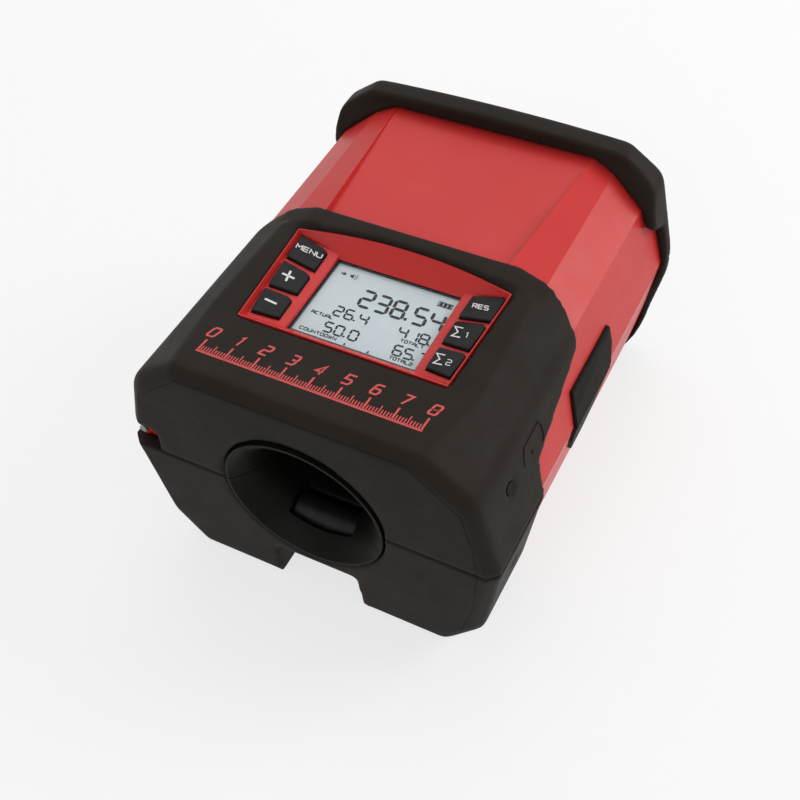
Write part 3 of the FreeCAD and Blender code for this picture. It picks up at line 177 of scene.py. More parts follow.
faceGroove = {    # half of the outline round the front face, from the middle of the top down one side
    "corners": [(0, 0.044), (0.0412, 0.044), (0.0584, 0.0296), (0.0625, 0.0136), (0.0637, 0),
                (0.0617, -0.0205), (0.0562, -0.0412), (0.039, -0.0584)],
    # width and depth of the groove, where it ends to the rear, and the share of the cap's dark colour left in
    # it: painted shade in the recess
    "width": 0.00045, "depth": 0.00025, "behind": -0.0776, "shade": 0.5,
}


def grooveMask(finish):
    # 1 on the groove, fading out over its half width, and only on the front face
    across = finish.sum("ABSOLUTE", finish.axis("X"))
    distance = lineDistance(across, finish.axis("Z") - axisHeight, faceGroove["corners"])
    near = 1 - finish.sum("ABSOLUTE", distance) / faceGroove["width"]
    return finish.sum("MAXIMUM", near, 0.0) * (finish.axis("Y") < faceGroove["behind"])


rubbing = {"size": 0.35, "low": 0.42, "high": 0.68}    # patch size as a share of the drift, and where it fades
grainGloss = 0.1    # how much rougher the tops of the grain are than its pits


def mouldedPlastic(name, look):
    # colour drifts slowly, fine spark-eroded grain, rubbed patches a little shinier
    finish = Finish(name)
    drift = finish.noise(look["drift"], detail=4)
    patches = finish.noise(look["drift"] * rubbing["size"], detail=5, roughness=0.65)
    rubbed = finish.ramp(patches, rubbing["low"], rubbing["high"])
    grain = finish.noise(look["grain"], detail=2, roughness=0.5)
    colour = finish.tint(finish.ramp(drift, low=0.3, high=0.7), look["dark"], look["light"])
    normal = finish.relief(grain, look["depth"], look["strength"])
    if look.get("groove"):
        groove = grooveMask(finish)
        # the groove's colour is darkened to half the cap's dark tone, a painted shade in the recess, besides
        # the bump that cuts it into the normal
        colour = finish.tint(groove, colour, shaded(look["dark"], faceGroove["shade"]))
        normal = finish.relief(-1 * groove, faceGroove["depth"], under=normal)
    if look.get("crease"):
        # a fold: the height falls off evenly on both sides of a line that climbs a little to the rear
        fold = look["crease"]
        line = axisHeight + fold["height"] + (finish.axis("Y") - fold["start"]) * fold["climb"]
        away = finish.sum("ABSOLUTE", finish.axis("Z") - line)
        normal = finish.relief(-fold["steep"] * away / millimetre, millimetre, under=normal)
    return finish.set(
        Base_Color=colour,
        Roughness=look["roughness"] - rubbed * look["rub"] + (grain - 0.5) * grainGloss,
        Normal=normal,
        Specular_IOR_Level=look.get("specular", 0.5),
    )


capLook = dict(dark=rgb(0.0165, 0.0125, 0.0098), light=rgb(0.0205, 0.016, 0.013), drift=0.03,
               grain=0.00045, roughness=0.56, rub=0.08, depth=0.00005, strength=0.5, specular=0.06)
plastics = {
    "blackCap": capLook,
    "frontCap": dict(capLook, groove=True),
    "redShell": dict(
        dark=rgb(0.5, 0.023, 0.021), light=rgb(0.54, 0.029, 0.026), drift=0.04,
        grain=0.0004, roughness=0.4, rub=0.06, depth=0.00004, strength=0.35, specular=0.24),
    # the funnel's black is much darker than the caps': the plastic's own black, deepened by painted shade for
    # the inside of the bore; the roller troughs and the buzzer's sound hole use it as painted shade too
    "darkFunnel": dict(
        dark=rgb(0.004, 0.0042, 0.0034), light=rgb(0.0062, 0.0056, 0.0045), drift=0.012,
        grain=0.0006, roughness=0.48, rub=0.1, depth=0.00003, strength=0.3, specular=0.06),
    "greyFrame": dict(
        dark=rgb(0.05, 0.05, 0.052), light=rgb(0.065, 0.065, 0.068), drift=0.01,
        grain=0.0004, roughness=0.55, rub=0.05, depth=0.00004, strength=0.4),
    "keyRubber": dict(
        dark=rgb(0.0085, 0.0083, 0.0088), light=rgb(0.0125, 0.0122, 0.0128), drift=0.006,
        grain=0.0003, roughness=0.55, rub=0.12, depth=0.00003, strength=0.4, specular=0.14),
    "gripRubber": dict(
        dark=rgb(0.0105, 0.0084, 0.007), light=rgb(0.0145, 0.012, 0.0102), drift=0.01,
        grain=0.0003, roughness=0.62, rub=0.06, depth=0.00003, strength=0.4, specular=0.06,
        crease=dict(height=0.0065, start=-0.0068, climb=0.175, steep=0.06)),
    "rollerBlack": dict(
        dark=rgb(0.009, 0.0085, 0.008), light=rgb(0.014, 0.013, 0.012), drift=0.006,
        grain=0.0004, roughness=0.44, rub=0.1, depth=0.00002, strength=0.3, specular=0.14),
    "blackOxide": dict(
        dark=rgb(0.006, 0.0046, 0.0038), light=rgb(0.0095, 0.0076, 0.0064), drift=0.002,
        grain=0.0003, roughness=0.52, rub=0.1, depth=0.00002, strength=0.3, specular=0.05),
    "lcdBorder": dict(
        dark=rgb(0.03, 0.033, 0.036), light=rgb(0.04, 0.044, 0.047), drift=0.006,
        grain=0.0003, roughness=0.45, rub=0.05, depth=0.00001, strength=0.2),
}
finishes = {name: mouldedPlastic(name, look) for name, look in plastics.items()}


metalWear = {"marks": 0.0006, "markRough": 0.08, "depth": 0.00002, "polish": 0.004, "polishRough": 0.12,
             "tarnish": 0.003, "shade": 0.7}


def turnedMetal(name, colour, roughness, lay):
    # fine tool marks, drawn out along the lay, over a slow change of polish
    finish = Finish(name)
    marks = finish.noise(metalWear["marks"], roughness=0.6, stretch=lay)
    polish = finish.noise(metalWear["polish"])
    tarnish = finish.ramp(finish.noise(metalWear["tarnish"], detail=5, roughness=0.7), low=0.5, high=0.8)
    return finish.set(
        Base_Color=finish.tint(tarnish, colour, shaded(colour, metalWear["shade"])),
        Roughness=roughness + polish * metalWear["polishRough"] + marks * metalWear["markRough"],
        Normal=finish.relief(marks, metalWear["depth"], strength=0.4),
        Metallic=1.0,
    )


metals = {
    "steel": dict(colour=rgb(0.56, 0.56, 0.57), roughness=0.18, lay=(8, 1, 8)),
    "zinc": dict(colour=rgb(0.36, 0.36, 0.35), roughness=0.36, lay=(3, 3, 3)),
    "groundPin": dict(colour=rgb(0.28, 0.28, 0.27), roughness=0.42, lay=(8, 1, 8)),
    "castArm": dict(colour=rgb(0.6, 0.61, 0.62), roughness=0.34, lay=(1, 1, 1)),
    "contact": dict(colour=rgb(0.7, 0.62, 0.42), roughness=0.25, lay=(1, 6, 1)),
}
finishes.update({name: turnedMetal(name, **look) for name, look in metals.items()})


def dustyTread():
    # dull rubber with pale dust in patches
    finish = Finish("treadRubber")
    grain = finish.noise(size=0.0005)
    dust = finish.ramp(finish.noise(size=0.003, detail=4, roughness=0.7), low=0.45, high=0.75)
    return finish.set(
        Base_Color=finish.tint(dust, rgb(0.012, 0.012, 0.012), rgb(0.035, 0.033, 0.031)),
        Roughness=0.62 + dust * 0.15,
        Normal=finish.relief(grain, depth=0.00005, strength=0.5),
    )


def clearWindow():
    # thin clear plate: mostly seen through, with its own gloss and a few faint wiping marks
    finish = Finish("clearWindow")
    marks = finish.noise(size=0.002, detail=4, roughness=0.6, stretch=(1, 0.2, 1))
    wipes = finish.ramp(marks, low=0.55, high=0.8)
    finish.material.blend_method = "BLEND"
    return finish.set(
        Base_Color=rgb(0.02, 0.025, 0.026),
        Roughness=0.06 + wipes * 0.08,
        Alpha=0.07 + wipes * 0.03,
        IOR=1.49,
    )


def lcdFace():
    # pale cool reflective panel with a fine dot grid and a soft mottle, and painted shade that makes it darker
    # towards the front and lighter towards the rear
    finish = Finish("lcdFace")
    paintedFrontShade = finish.ramp(finish.axis("Y"), low=-0.045, high=-0.004)
    mottle = finish.noise(size=0.003)
    grid = finish.noise(size=0.0003, detail=1)
    return finish.set(
        Base_Color=finish.tint(paintedFrontShade * 0.8 + mottle * 0.2, rgb(0.645, 0.765, 0.805), rgb(0.7, 0.81, 0.84)),
        Roughness=0.42 + grid * 0.08,
        Normal=finish.relief(grid, depth=0.00001, strength=0.2),
    )


def printedInk(name, colour, roughness):
    # flat ink, a little darker where it lies thin
    finish = Finish(name)
    thin = finish.noise(size=0.0008)
    return finish.set(
        Base_Color=finish.tint(finish.ramp(thin, low=0.35, high=0.75), colour, shaded(colour, share=0.86)),
        Roughness=roughness + thin * 0.1,
    )


boardLook = {"trackPitch": 0.00127, "trackWidth": 0.32, "trackPatch": 0.007, "acrossOver": 0.54,
             "alongUnder": 0.46, "padPitch": 0.00254, "padSize": 0.035, "padPatch": 0.011, "padOver": 0.6,
             "depth": 0.00006}


def circuitBoard():
    # green lacquer over two crossing sets of tracks, each shown in some patches, and rows of tinned pads: a
    # track is where the fraction of place over pitch is small, and a pad where the squares of both fractions,
    # each less a half, add up to less than its size
    finish = Finish("boardGreen")
    across, along = finish.axis("X"), finish.axis("Y")
    patch = finish.noise(boardLook["trackPatch"], detail=0)
    padPatch = finish.noise(boardLook["padPatch"], detail=0)

    def within(place, pitch):
        return finish.sum("FRACT", place / boardLook[pitch])
    tracksAcross = (within(along, "trackPitch") < boardLook["trackWidth"]) * (patch > boardLook["acrossOver"])
    tracksAlong = (within(across, "trackPitch") < boardLook["trackWidth"]) * (patch < boardLook["alongUnder"])
    tracks = finish.sum("MAXIMUM", tracksAcross, tracksAlong)
    padPlace = (within(across, "padPitch") - 0.5) ** 2.0 + (within(along, "padPitch") - 0.5) ** 2.0
    pads = (padPlace < boardLook["padSize"]) * (padPatch > boardLook["padOver"])
    lacquer = finish.tint(tracks, rgb(0.01, 0.075, 0.03), rgb(0.022, 0.135, 0.052))
    height = finish.sum("MAXIMUM", tracks * 0.5, pads)
    return finish.set(
        Base_Color=finish.tint(pads, lacquer, rgb(0.55, 0.54, 0.5)),
        Metallic=pads,
        Roughness=0.34 + finish.noise(size=0.002) * 0.12,
        Normal=finish.relief(height, boardLook["depth"], strength=0.8),
    )


def cellJacket():
    # dark printed foil with a copper band at the rear end, scuffed in patches
    finish = Finish("cellJacket")
    ring = finish.ramp(finish.axis("Y"), low=0.012, high=0.0125)
    scuff = finish.ramp(finish.noise(size=0.004, detail=5, roughness=0.7), low=0.55, high=0.8)
    return finish.set(
        Base_Color=finish.tint(ring, rgb(0.05, 0.06, 0.08), rgb(0.55, 0.36, 0.16)),
        Roughness=0.28 + scuff * 0.3,
    )


for made in (dustyTread(), clearWindow(), lcdFace(), cellJacket(), circuitBoard()):
    finishes[made.name] = made
inks = {
    "lcdInk": dict(colour=rgb(0.003, 0.005, 0.006), roughness=0.6),
    "whiteInk": dict(colour=rgb(0.72, 0.72, 0.71), roughness=0.5),
    "redInk": dict(colour=rgb(0.55, 0.05, 0.045), roughness=0.45),
}
finishes.update({name: printedInk(name, **look) for name, look in inks.items()})
slotFinish = {
    "black_plastic": "blackCap", "funnel_plastic": "darkFunnel", "red_plastic": "redShell",
    "key_rubber": "keyRubber", "grip_rubber": "gripRubber", "clear_window": "clearWindow",
    "lcd_glass": "lcdFace", "lcd_surround": "lcdBorder", "board_green": "boardGreen", "steel": "steel",
    "zinc": "zinc", "roller_plastic": "rollerBlack", "frame_plastic": "greyFrame", "arm_metal": "castArm",
    "tread_rubber": "treadRubber", "cell_jacket": "cellJacket", "contact_metal": "contact",
}
slotOf = {part["node"]: part["material_slot"] for part in frame["record"]["subparts"]}
darkScrews = {"cap_screws_lower", "cap_screws_upper", "funnel_screws_lower", "funnel_screws_upper"}
finishOf = {node: "blackOxide" if node in darkScrews else slotFinish[slot] for node, slot in slotOf.items()}
finishOf.update(front_cap_upper="frontCap", front_cap_lower="frontCap", hinge_pin="groundPin")
for node, thing in frame["nodes"].items():
    thing.data.materials.clear()
    thing.data.materials.append(finishes[finishOf[node]])
print("finishes made:", len(finishes))


# pieces

def linked(name, data):
    thing = bpy.data.objects.new(name, data)
    bpy.context.scene.collection.objects.link(thing)
    return thing


def addPiece(name, mesh, body, finish):
    piece = linked(name, mesh)
    mesh.materials.clear()
    mesh.materials.append(finishes[finish])
    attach(piece, body)
    return piece


def shadeSmooth(mesh, degrees):
    mesh.polygons.foreach_set("use_smooth", np.ones(len(mesh.polygons), dtype=bool))
    mesh.set_sharp_from_angle(angle=math.radians(degrees))


weld = 0.000002    # points closer than this are one


def mergedCopy(node, ending):
    # a copy of a node with its loose triangles joined up, standing for the node
    work = bmesh.new()
    work.from_mesh(frame["nodes"][node].data)
    bmesh.ops.remove_doubles(work, verts=work.verts, dist=weld)
    mesh = bpy.data.meshes.new(node + ending)
    work.to_mesh(mesh)
    work.free()
    piece = addPiece(node + ending, mesh, bodyOf[node], finishOf[node])
    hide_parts(node)
    return piece


def rounded(piece, bevel, segments, method):
    rounding = piece.modifiers.new("edges", "BEVEL")
    rounding.width = bevel
    rounding.segments = segments
    rounding.limit_method = method
    rounding.use_clamp_overlap = False
    return rounding


def softCopy(node, bevel, segments=3, degrees=30):
    # the node with its sharp edges rounded
    piece = mergedCopy(node, "_soft")
    shadeSmooth(piece.data, degrees)
    rounding = rounded(piece, bevel, segments, "ANGLE")
    rounding.angle_limit = math.radians(degrees)
    rounding.harden_normals = True


def readArray(collection, name, kind, width=1):
    values = np.empty(len(collection) * width, dtype=kind)
    collection.foreach_get(name, values)
    return values.reshape(-1, width) if width > 1 else values


def relaxed(mesh, passes, firmness):
    # each pass moves a point half way to the mean of its neighbours, times its own looseness: little near the
    # parting plane, which stays crisp, and full from a set height away; no point ends farther from its start
    # than the reach, so thin lips keep their thickness, and points near the parting face are laid flat on it
    start = readArray(mesh.vertices, "co", np.float32, 3).astype(float)
    points = start.copy()
    ends = readArray(mesh.edges, "vertices", np.int32, 2)
    here, there = np.concatenate([ends[:, 0], ends[:, 1]]), np.concatenate([ends[:, 1], ends[:, 0]])
    shared = np.bincount(here, minlength=len(points))[:, None]
    loose = np.clip(abs(points[:, 2:] - axisHeight) / firmness["height"], firmness["least"], 1)
    for _ in range(passes):
        mean = np.stack([np.bincount(here, points[there, k], len(points)) for k in range(3)], 1) / shared
        points += 0.5 * loose * (mean - points)
    moved = points - start
    far = np.maximum(np.linalg.norm(moved, axis=1) / firmness["reach"], 1)[:, None]
    points = start + moved / far
    flat = abs(points[:, 2] - firmness["parting"]) < firmness["near"]
    points[flat, 2] = firmness["parting"]
    mesh.vertices.foreach_set("co", points.ravel())
    mesh.update()


hoodFold = {    # half width and height of the fold that carries the hood on into the cap, and how far it runs
    "profile": [(0.0336, 0.0975), (0.0336, 0.0995), (0.0343, 0.1), (0.0352, 0.1),
                (0.0362, 0.0997), (0.0374, 0.0995), (0.0388, 0.0992), (0.0388, 0.0968)],
    "front": 0.0008, "rear": 0.0089,
}


def foldMesh(fold):
    # the profile carried from front to rear, on both sides of the middle, and closed at its ends
    profile = np.array(fold["profile"])
    count = len(profile)
    rings = [np.column_stack([side * profile[:, 0], np.full(count, y), profile[:, 1]])
             for side in (-1, 1) for y in (fold["front"], fold["rear"])]
    step = np.arange(count)
    walls = np.stack([step, (step + 1) % count, (step + 1) % count + count, step + count], 1)
    faces = []
    for start in (0, 2 * count):
        faces += (walls + start).tolist() + [(step[::-1] + start).tolist(), (step + count + start).tolist()]
    mesh = bpy.data.meshes.new("hood_fold")
    mesh.from_pydata(np.vstack(rings).tolist(), [], faces)
    return mesh


def mouldedCopy(node, cell, passes, firmness, added=None):
    # the node, with an added solid if there is one, drawn again in small cells and relaxed, so its edges are as
    # soft as thick moulded rubber
    piece = mergedCopy(node, "_moulded")
    if added:
        work = bmesh.new()
        work.from_mesh(piece.data)
        work.from_mesh(added)
        work.to_mesh(piece.data)
        work.free()
    cells = piece.modifiers.new("cells", "REMESH")
    cells.mode = "VOXEL"
    cells.voxel_size = cell
    cells.use_smooth_shade = True
    piece.data = bpy.data.meshes.new_from_object(piece.evaluated_get(bpy.context.evaluated_depsgraph_get()))
    piece.modifiers.clear()
    lowest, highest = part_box(node)
    parting = highest[2] if node.endswith("_lower") else lowest[2]
    relaxed(piece.data, passes, dict(firmness, parting=parting))


moulded = {
    "cell": 0.00075, "passes": 13,
    "firmness": {"height": 0.006, "least": 0.05, "reach": 0.0007, "near": 0.0005},
}
mouldedCopy("front_cap_upper", **moulded, added=foldMesh(hoodFold))
for node in ("front_cap_lower", "rear_cap_upper", "rear_cap_lower"):
    mouldedCopy(node, **moulded)


longEdges = {"least": 0.004, "along": 0.98, "turn": (12, 26)}    # length, share of it front to back, degrees


def markLongEdges(mesh):
    # bevel weight 1 on an outer edge that runs front to back, is longer than the least length, and whose two
    # faces turn outwards by an angle between the limits (the arc cosine of the product of their normals)
    points = readArray(mesh.vertices, "co", np.float32, 3)
    ends = readArray(mesh.edges, "vertices", np.int32, 2)
    normals = readArray(mesh.polygons, "normal", np.float32, 3)
    centres = readArray(mesh.polygons, "center", np.float32, 3)
    faceOf = np.repeat(np.arange(len(mesh.polygons)), readArray(mesh.polygons, "loop_total", np.int32))
    edgeOf = readArray(mesh.loops, "edge_index", np.int32)
    first, second = (np.zeros(len(ends), int) for _ in range(2))
    first[edgeOf], second[edgeOf[::-1]] = faceOf, faceOf[::-1]
    run = points[ends[:, 1]] - points[ends[:, 0]]
    length = np.linalg.norm(run, axis=1)
    angle = np.degrees(np.arccos(np.clip((normals[first] * normals[second]).sum(1), -1, 1)))
    outward = ((centres[second] - centres[first]) * normals[first]).sum(1) < 0
    along = abs(run[:, 1]) > longEdges["along"] * length
    least, (lowTurn, highTurn) = longEdges["least"], longEdges["turn"]
    marked = outward & along & (length > least) & (angle > lowTurn) & (angle < highTurn)
    weights = mesh.attributes.new("bevel_weight_edge", "FLOAT", "EDGE")
    weights.data.foreach_set("value", marked.astype(np.float32))


shellEdges = {"bevel": 0.0009, "segments": 3, "smooth": 9}


def shellCopy(node):
    # the shell with only its long outer edges rounded
    piece = mergedCopy(node, "_soft")
    shadeSmooth(piece.data, shellEdges["smooth"])
    markLongEdges(piece.data)
    rounded(piece, shellEdges["bevel"], shellEdges["segments"], "WEIGHT")
    facing = piece.modifiers.new("facing", "WEIGHTED_NORMAL")    # large flat faces keep their own normal
    facing.keep_sharp = True


for node in ("upper_shell", "lower_shell"):
    shellCopy(node)
softEdges = {
    "grip_upper": 0.0006, "grip_lower": 0.0006,
    "battery_cover": 0.0003,
    "swing_arm": 0.0003, "arm_bracket": 0.0003,
}
for node, bevel in softEdges.items():
    softCopy(node, bevel)
keyEdges = {"bevel": 0.0006, "segments": 4}
for node in ("key_mode", "key_plus", "key_minus", "key_clear", "key_total_1", "key_total_2"):
    softCopy(node, **keyEdges)
print("edges rounded")


# lettering and figures: every stroke is a flat ribbon laid on the surface below it

def ribbon(path, widths, low, high, closed=False):
    # points left and right of the path in two levels, mitred at the corners: the offset is half the width over
    # the cosine of half the turn, which is held to at least a half
    path = np.asarray(path, float)
    widths = np.broadcast_to(np.asarray(widths, float), (len(path),))
    ahead = np.roll(path, -1, 0) - path
    if not closed:
        ahead[-1] = ahead[-2]
    ahead /= np.linalg.norm(ahead, axis=1, keepdims=True)
    behind = np.roll(ahead, 1, 0)
    if not closed:
        behind[0] = ahead[0]
    middle = ahead + behind
    middle /= np.linalg.norm(middle, axis=1, keepdims=True)
    across = np.stack([-middle[:, 1], middle[:, 0]], 1)
    stretch = 1 / np.clip((middle * ahead).sum(1), 0.5, 1)
    offset = across * (widths * stretch / 2)[:, None]
    flat = np.stack([path + offset, path - offset, path - offset, path + offset], 1)
    level = np.broadcast_to(np.array([low, low, high, high]), (len(path), 4))[..., None]
    points = np.concatenate([flat, level], 2).reshape(-1, 3)
    count = len(path)
    steps = np.arange(count if closed else count - 1)
    start, end = 4 * steps, 4 * ((steps + 1) % count)
    side = np.arange(4)
    faces = np.stack([start[:, None] + side, start[:, None] + (side + 1) % 4,
                      end[:, None] + (side + 1) % 4, end[:, None] + side], 2).reshape(-1, 4)
    if not closed:
        last = 4 * (count - 1)
        faces = np.vstack([faces, [3, 2, 1, 0], [last, last + 1, last + 2, last + 3]])
    return points, faces


def gathered(parts):
    # several (points, faces) pairs as one
    starts = np.cumsum([0] + [len(points) for points, _ in parts[:-1]])
    faces = [faces + start for (_, faces), start in zip(parts, starts)]
    return np.vstack([points for points, _ in parts]), np.vstack(faces)


def flatAt(*origin):
    # a plane through the origin given, with its axes along the frame's own
    return origin, (1, 0, 0), (0, 1, 0)


def laid(name, parts, plane, node, finish):
    # plane: the point under the drawing's origin, and the directions of its two axes; node: what it rides with
    points, faces = gathered(parts)
    origin, along, upward = (np.array(v, float) for v in plane)
    along /= np.linalg.norm(along)
    upward /= np.linalg.norm(upward)
    out = np.cross(along, upward)
    placed = origin + points @ np.stack([along, upward, out])
    mesh = bpy.data.meshes.new(name)
    mesh.from_pydata(placed.tolist(), [], faces.tolist())
    work = bmesh.new()
    work.from_mesh(mesh)
    bmesh.ops.recalc_face_normals(work, faces=work.faces)
    work.to_mesh(mesh)
    work.free()
    return addPiece(name, mesh, bodyOf[node], finish)


glyphs = {    # strokes in a cell one wide and one high
    "A": [[(0, 0), (0, .8), (.2, 1), (.8, 1), (1, .8), (1, 0)], [(0, .42), (1, .42)]],
    "C": [[(1, 1), (.15, 1), (0, .85), (0, .15), (.15, 0), (1, 0)]],
    "D": [[(0, 0), (.85, 0), (1, .15), (1, .85), (.85, 1), (0, 1), (0, 0.06)]],
    "E": [[(1, 1), (0, 1), (0, 0), (1, 0)], [(0, .5), (.9, .5)]],
    "L": [[(0, 1), (0, 0), (1, 0)]],
    "M": [[(0, 0), (0, 1), (.5, .45), (1, 1), (1, 0)]],
    "N": [[(0, 0), (0, 1), (1, 0), (1, 1)]],
    "O": [[(.5, 0), (.15, 0), (0, .15), (0, .85), (.15, 1), (.85, 1), (1, .85), (1, .15), (.85, 0), (.44, 0)]],
    "R": [[(0, 0), (0, 1), (.85, 1), (1, .88), (1, .6), (.85, .48), (0, .48)], [(.5, .48), (1, 0)]],
    "S": [[(1, 1), (.12, 1), (0, .88), (0, .62), (.12, .5), (.88, .5), (1, .38), (1, .12), (.88, 0), (0, 0)]],
    "T": [[(0, 1), (1, 1)], [(.5, 1), (.5, 0)]],
    "U": [[(0, 1), (0, .2), (.2, 0), (.8, 0), (1, .2), (1, 1)]],
    "W": [[(0, 1), (.22, 0), (.5, .75), (.78, 0), (1, 1)]],
    "1": [[(.3, .82), (.62, 1), (.62, 0)]],
    "2": [[(0, 1), (.85, 1), (1, .85), (1, .62), (.88, .5), (.12, .5), (0, .38), (0, 0), (1, 0)]],
    "3": [[(0, 1), (.85, 1), (1, .85), (1, .62), (.88, .5), (1, .38), (1, .15), (.85, 0), (0, 0)],
          [(.3, .5), (.9, .5)]],
    "4": [[(.75, 0), (.75, 1), (0, .3), (1, .3)]],
    "5": [[(1, 1), (0, 1), (0, .52), (.85, .52), (1, .4), (1, .15), (.85, 0), (0, 0)]],
    "6": [[(.95, 1), (.15, 1), (0, .85), (0, .15), (.15, 0), (.85, 0), (1, .15), (1, .4), (.85, .55),
           (.05, .55)]],
    "7": [[(0, 1), (1, 1), (.45, 0)]],
    "8": [[(.5, .5), (.12, .5), (0, .6), (0, .88), (.14, 1), (.86, 1), (1, .88), (1, .6), (.88, .5), (.44, .5)],
          [(.5, .5), (.12, .5), (0, .4), (0, .12), (.14, 0), (.86, 0), (1, .12), (1, .4), (.88, .5),
           (.44, .5)]],
    "sum": [[(.95, 1), (.02, 1), (.55, .5), (.02, 0), (1, 0)]],
    "+": [[(0, .5), (1, .5)], [(.5, 0), (.5, 1)]],
    "-": [[(0, .5), (1, .5)]],
}
glyphs["0"] = glyphs["O"]


def written(letters, x, y, wide, high, pitch, pen, slant, level):
    # the letters in a row from x, each stroke sheared by the slant
    parts = []
    for place, letter in enumerate(letters):
        for stroke in glyphs[letter]:
            points = np.array(stroke) * (wide, high) + (x + place * pitch, y)
            points[:, 0] += slant * (points[:, 1] - y)
            parts.append(ribbon(points, pen, *level))
    return parts


segmentEnds = {"a": ((0, 1), (1, 1)), "b": ((1, 1), (1, .5)), "c": ((1, .5), (1, 0)), "d": ((0, 0), (1, 0)),
               "e": ((0, .5), (0, 0)), "f": ((0, 1), (0, .5)), "g": ((0, .5), (1, .5))}
segmentsOf = {"0": "abcdef", "1": "bc", "2": "abdeg", "3": "abcdg", "4": "bcfg", "5": "acdfg", "6": "acdefg",
              "7": "abc", "8": "abcdefg", "9": "abcdfg"}


# in pens: the gap at each end of a bar and the width of its point; in pitches: how far a dot moves the next
# figure on; and where the dot stands in the space between two figures
barLook = {"gap": 0.12, "point": 0.1, "dotPitch": 0.32, "dotPlace": 0.75}


def reading(figures, x, y, wide, high, pitch, pen, slant, level):
    # figures of seven bars, each bar pointed at both ends and set apart by a small gap, with a square dot
    parts = []
    at = x
    for figure in figures:
        if figure == ".":
            corner = at - pitch + wide + (pitch - wide) * barLook["dotPlace"]
            dot = np.array([(corner, y), (corner, y + pen)])
            dot[:, 0] += slant * (dot[:, 1] - y)
            parts.append(ribbon(dot, pen, *level))
            at += pitch * barLook["dotPitch"]
            continue
        for bar in segmentsOf[figure]:
            start, end = (np.array(corner) * (wide, high) for corner in segmentEnds[bar])
            run = (end - start) / np.linalg.norm(end - start)
            inset, point = pen * barLook["gap"], pen * barLook["point"]
            path = np.array([start + run * inset, start + run * (inset + pen / 2),
                             end - run * (inset + pen / 2), end - run * inset])
            path += (at, y)
            path[:, 0] += slant * (path[:, 1] - y)
            parts.append(ribbon(path, [point, pen, pen, point], *level))
        at += pitch
    return parts


def flatFrame(outer, inner, low, high):
    # a flat frame: outer and inner rectangle, each given by its two far corners, at two heights
    def corners(box, height):
        (left, front), (right, rear) = box
        return [(left, front, height), (right, front, height), (right, rear, height), (left, rear, height)]
    points = np.array(corners(outer, low) + corners(inner, low) + corners(outer, high) + corners(inner, high))
    near = np.arange(4)
    far = (near + 1) % 4
    rings = [(0, 4), (4, 12), (12, 8), (8, 0)]
    faces = np.vstack([np.stack([near + a, far + a, far + b, near + b], 1) for a, b in rings])
    return points, faces


panelFrame = {"opening": ((-0.0235, -0.0392), (0.023, -0.005))}
lowest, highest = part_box("lcd_frame")
framePart = flatFrame((lowest[:2], highest[:2]), panelFrame["opening"], lowest[2], highest[2])
framePiece = laid("lcd_frame_thin", [framePart], flatAt(0, 0, 0), "lcd_frame",
                  finishOf["lcd_frame"])
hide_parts("lcd_frame")

display = {"top": 0.0894, "level": (0.00002, 0.00006), "slant": -0.1, "labelPen": 0.00034}
readings = [    # figures, start, foot, width, height, pitch, pen
    ("238.54", -0.0081, -0.0205, 0.0043, 0.0073, 0.0061, 0.00115),
    ("26.4", -0.0138, -0.0276, 0.0029, 0.0042, 0.0041, 0.00072),
    ("50.0", -0.0134, -0.0354, 0.0029, 0.0042, 0.0041, 0.00072),
    ("418.9", 0.0106, -0.0276, 0.0029, 0.0042, 0.0039, 0.00072),
    ("65.7", 0.0127, -0.0354, 0.0029, 0.0042, 0.0039, 0.00072),
]
labels = [    # letters, start, foot, width, height, pitch
    ("ACTUAL", -0.021, -0.0296, 0.001, 0.0012, 0.00142),
    ("COUNTDOWN", -0.021, -0.0376, 0.0011, 0.0012, 0.00158),
    ("TOTAL1", 0.0127, -0.0294, 0.001, 0.0012, 0.00145),
    ("TOTAL2", 0.0127, -0.0375, 0.001, 0.0012, 0.00145),
]
icons = [    # path and pen: an arrow's shaft and head, and a speaker's body and cone
    ([(-0.0206, -0.009), (-0.0196, -0.009)], 0.0006),
    ([(-0.0197, -0.009), (-0.0186, -0.009)], [0.0018, 0.0001]),
    ([(-0.0172, -0.009), (-0.0166, -0.009)], 0.0008),
    ([(-0.0167, -0.009), (-0.0158, -0.009)], [0.0008, 0.0021]),
]
soundWaves = {"x": -0.0162, "y": -0.009, "reaches": (0.0011, 0.0018), "turn": 0.75, "steps": 9, "pen": 0.00022}
battery = {"outline": [(0.0168, -0.0099), (0.0168, -0.0079), (0.0218, -0.0079), (0.0218, -0.0099)],
           "pen": 0.0003, "bars": (0.0178, 0.0193, 0.0208), "barFoot": -0.0097, "barTop": -0.0081,
           "barPen": 0.0012}
footMarks = {"places": (-0.0036, 0.0052), "foot": -0.0384, "top": -0.0372, "pens": [0.0009, 0.0002]}


def displayFigures():
    # the readings, their labels, the small icons and the two marks along the foot of the panel
    slant, level = display["slant"], display["level"]
    parts = []
    for row in readings:
        parts += reading(*row, slant, level)
    for row in labels:
        parts += written(*row, display["labelPen"], slant, level)
    parts += [ribbon(path, pen, *level) for path, pen in icons]
    turn = np.linspace(-soundWaves["turn"], soundWaves["turn"], soundWaves["steps"])
    for reach in soundWaves["reaches"]:
        wave = np.stack([soundWaves["x"] + reach * np.cos(turn), soundWaves["y"] + reach * np.sin(turn)], 1)
        parts.append(ribbon(wave, soundWaves["pen"], *level))
    parts.append(ribbon(battery["outline"], battery["pen"], *level, closed=True))
    for x in battery["bars"]:
        parts.append(ribbon([(x, battery["barFoot"]), (x, battery["barTop"])], battery["barPen"], *level))
    for x in footMarks["places"]:
        parts.append(ribbon([(x, footMarks["foot"]), (x, footMarks["top"])], footMarks["pens"], *level))
    laid("display_figures", parts, flatAt(0, 0, display["top"]), "lcd_panel", "lcdInk")


displayFigures()

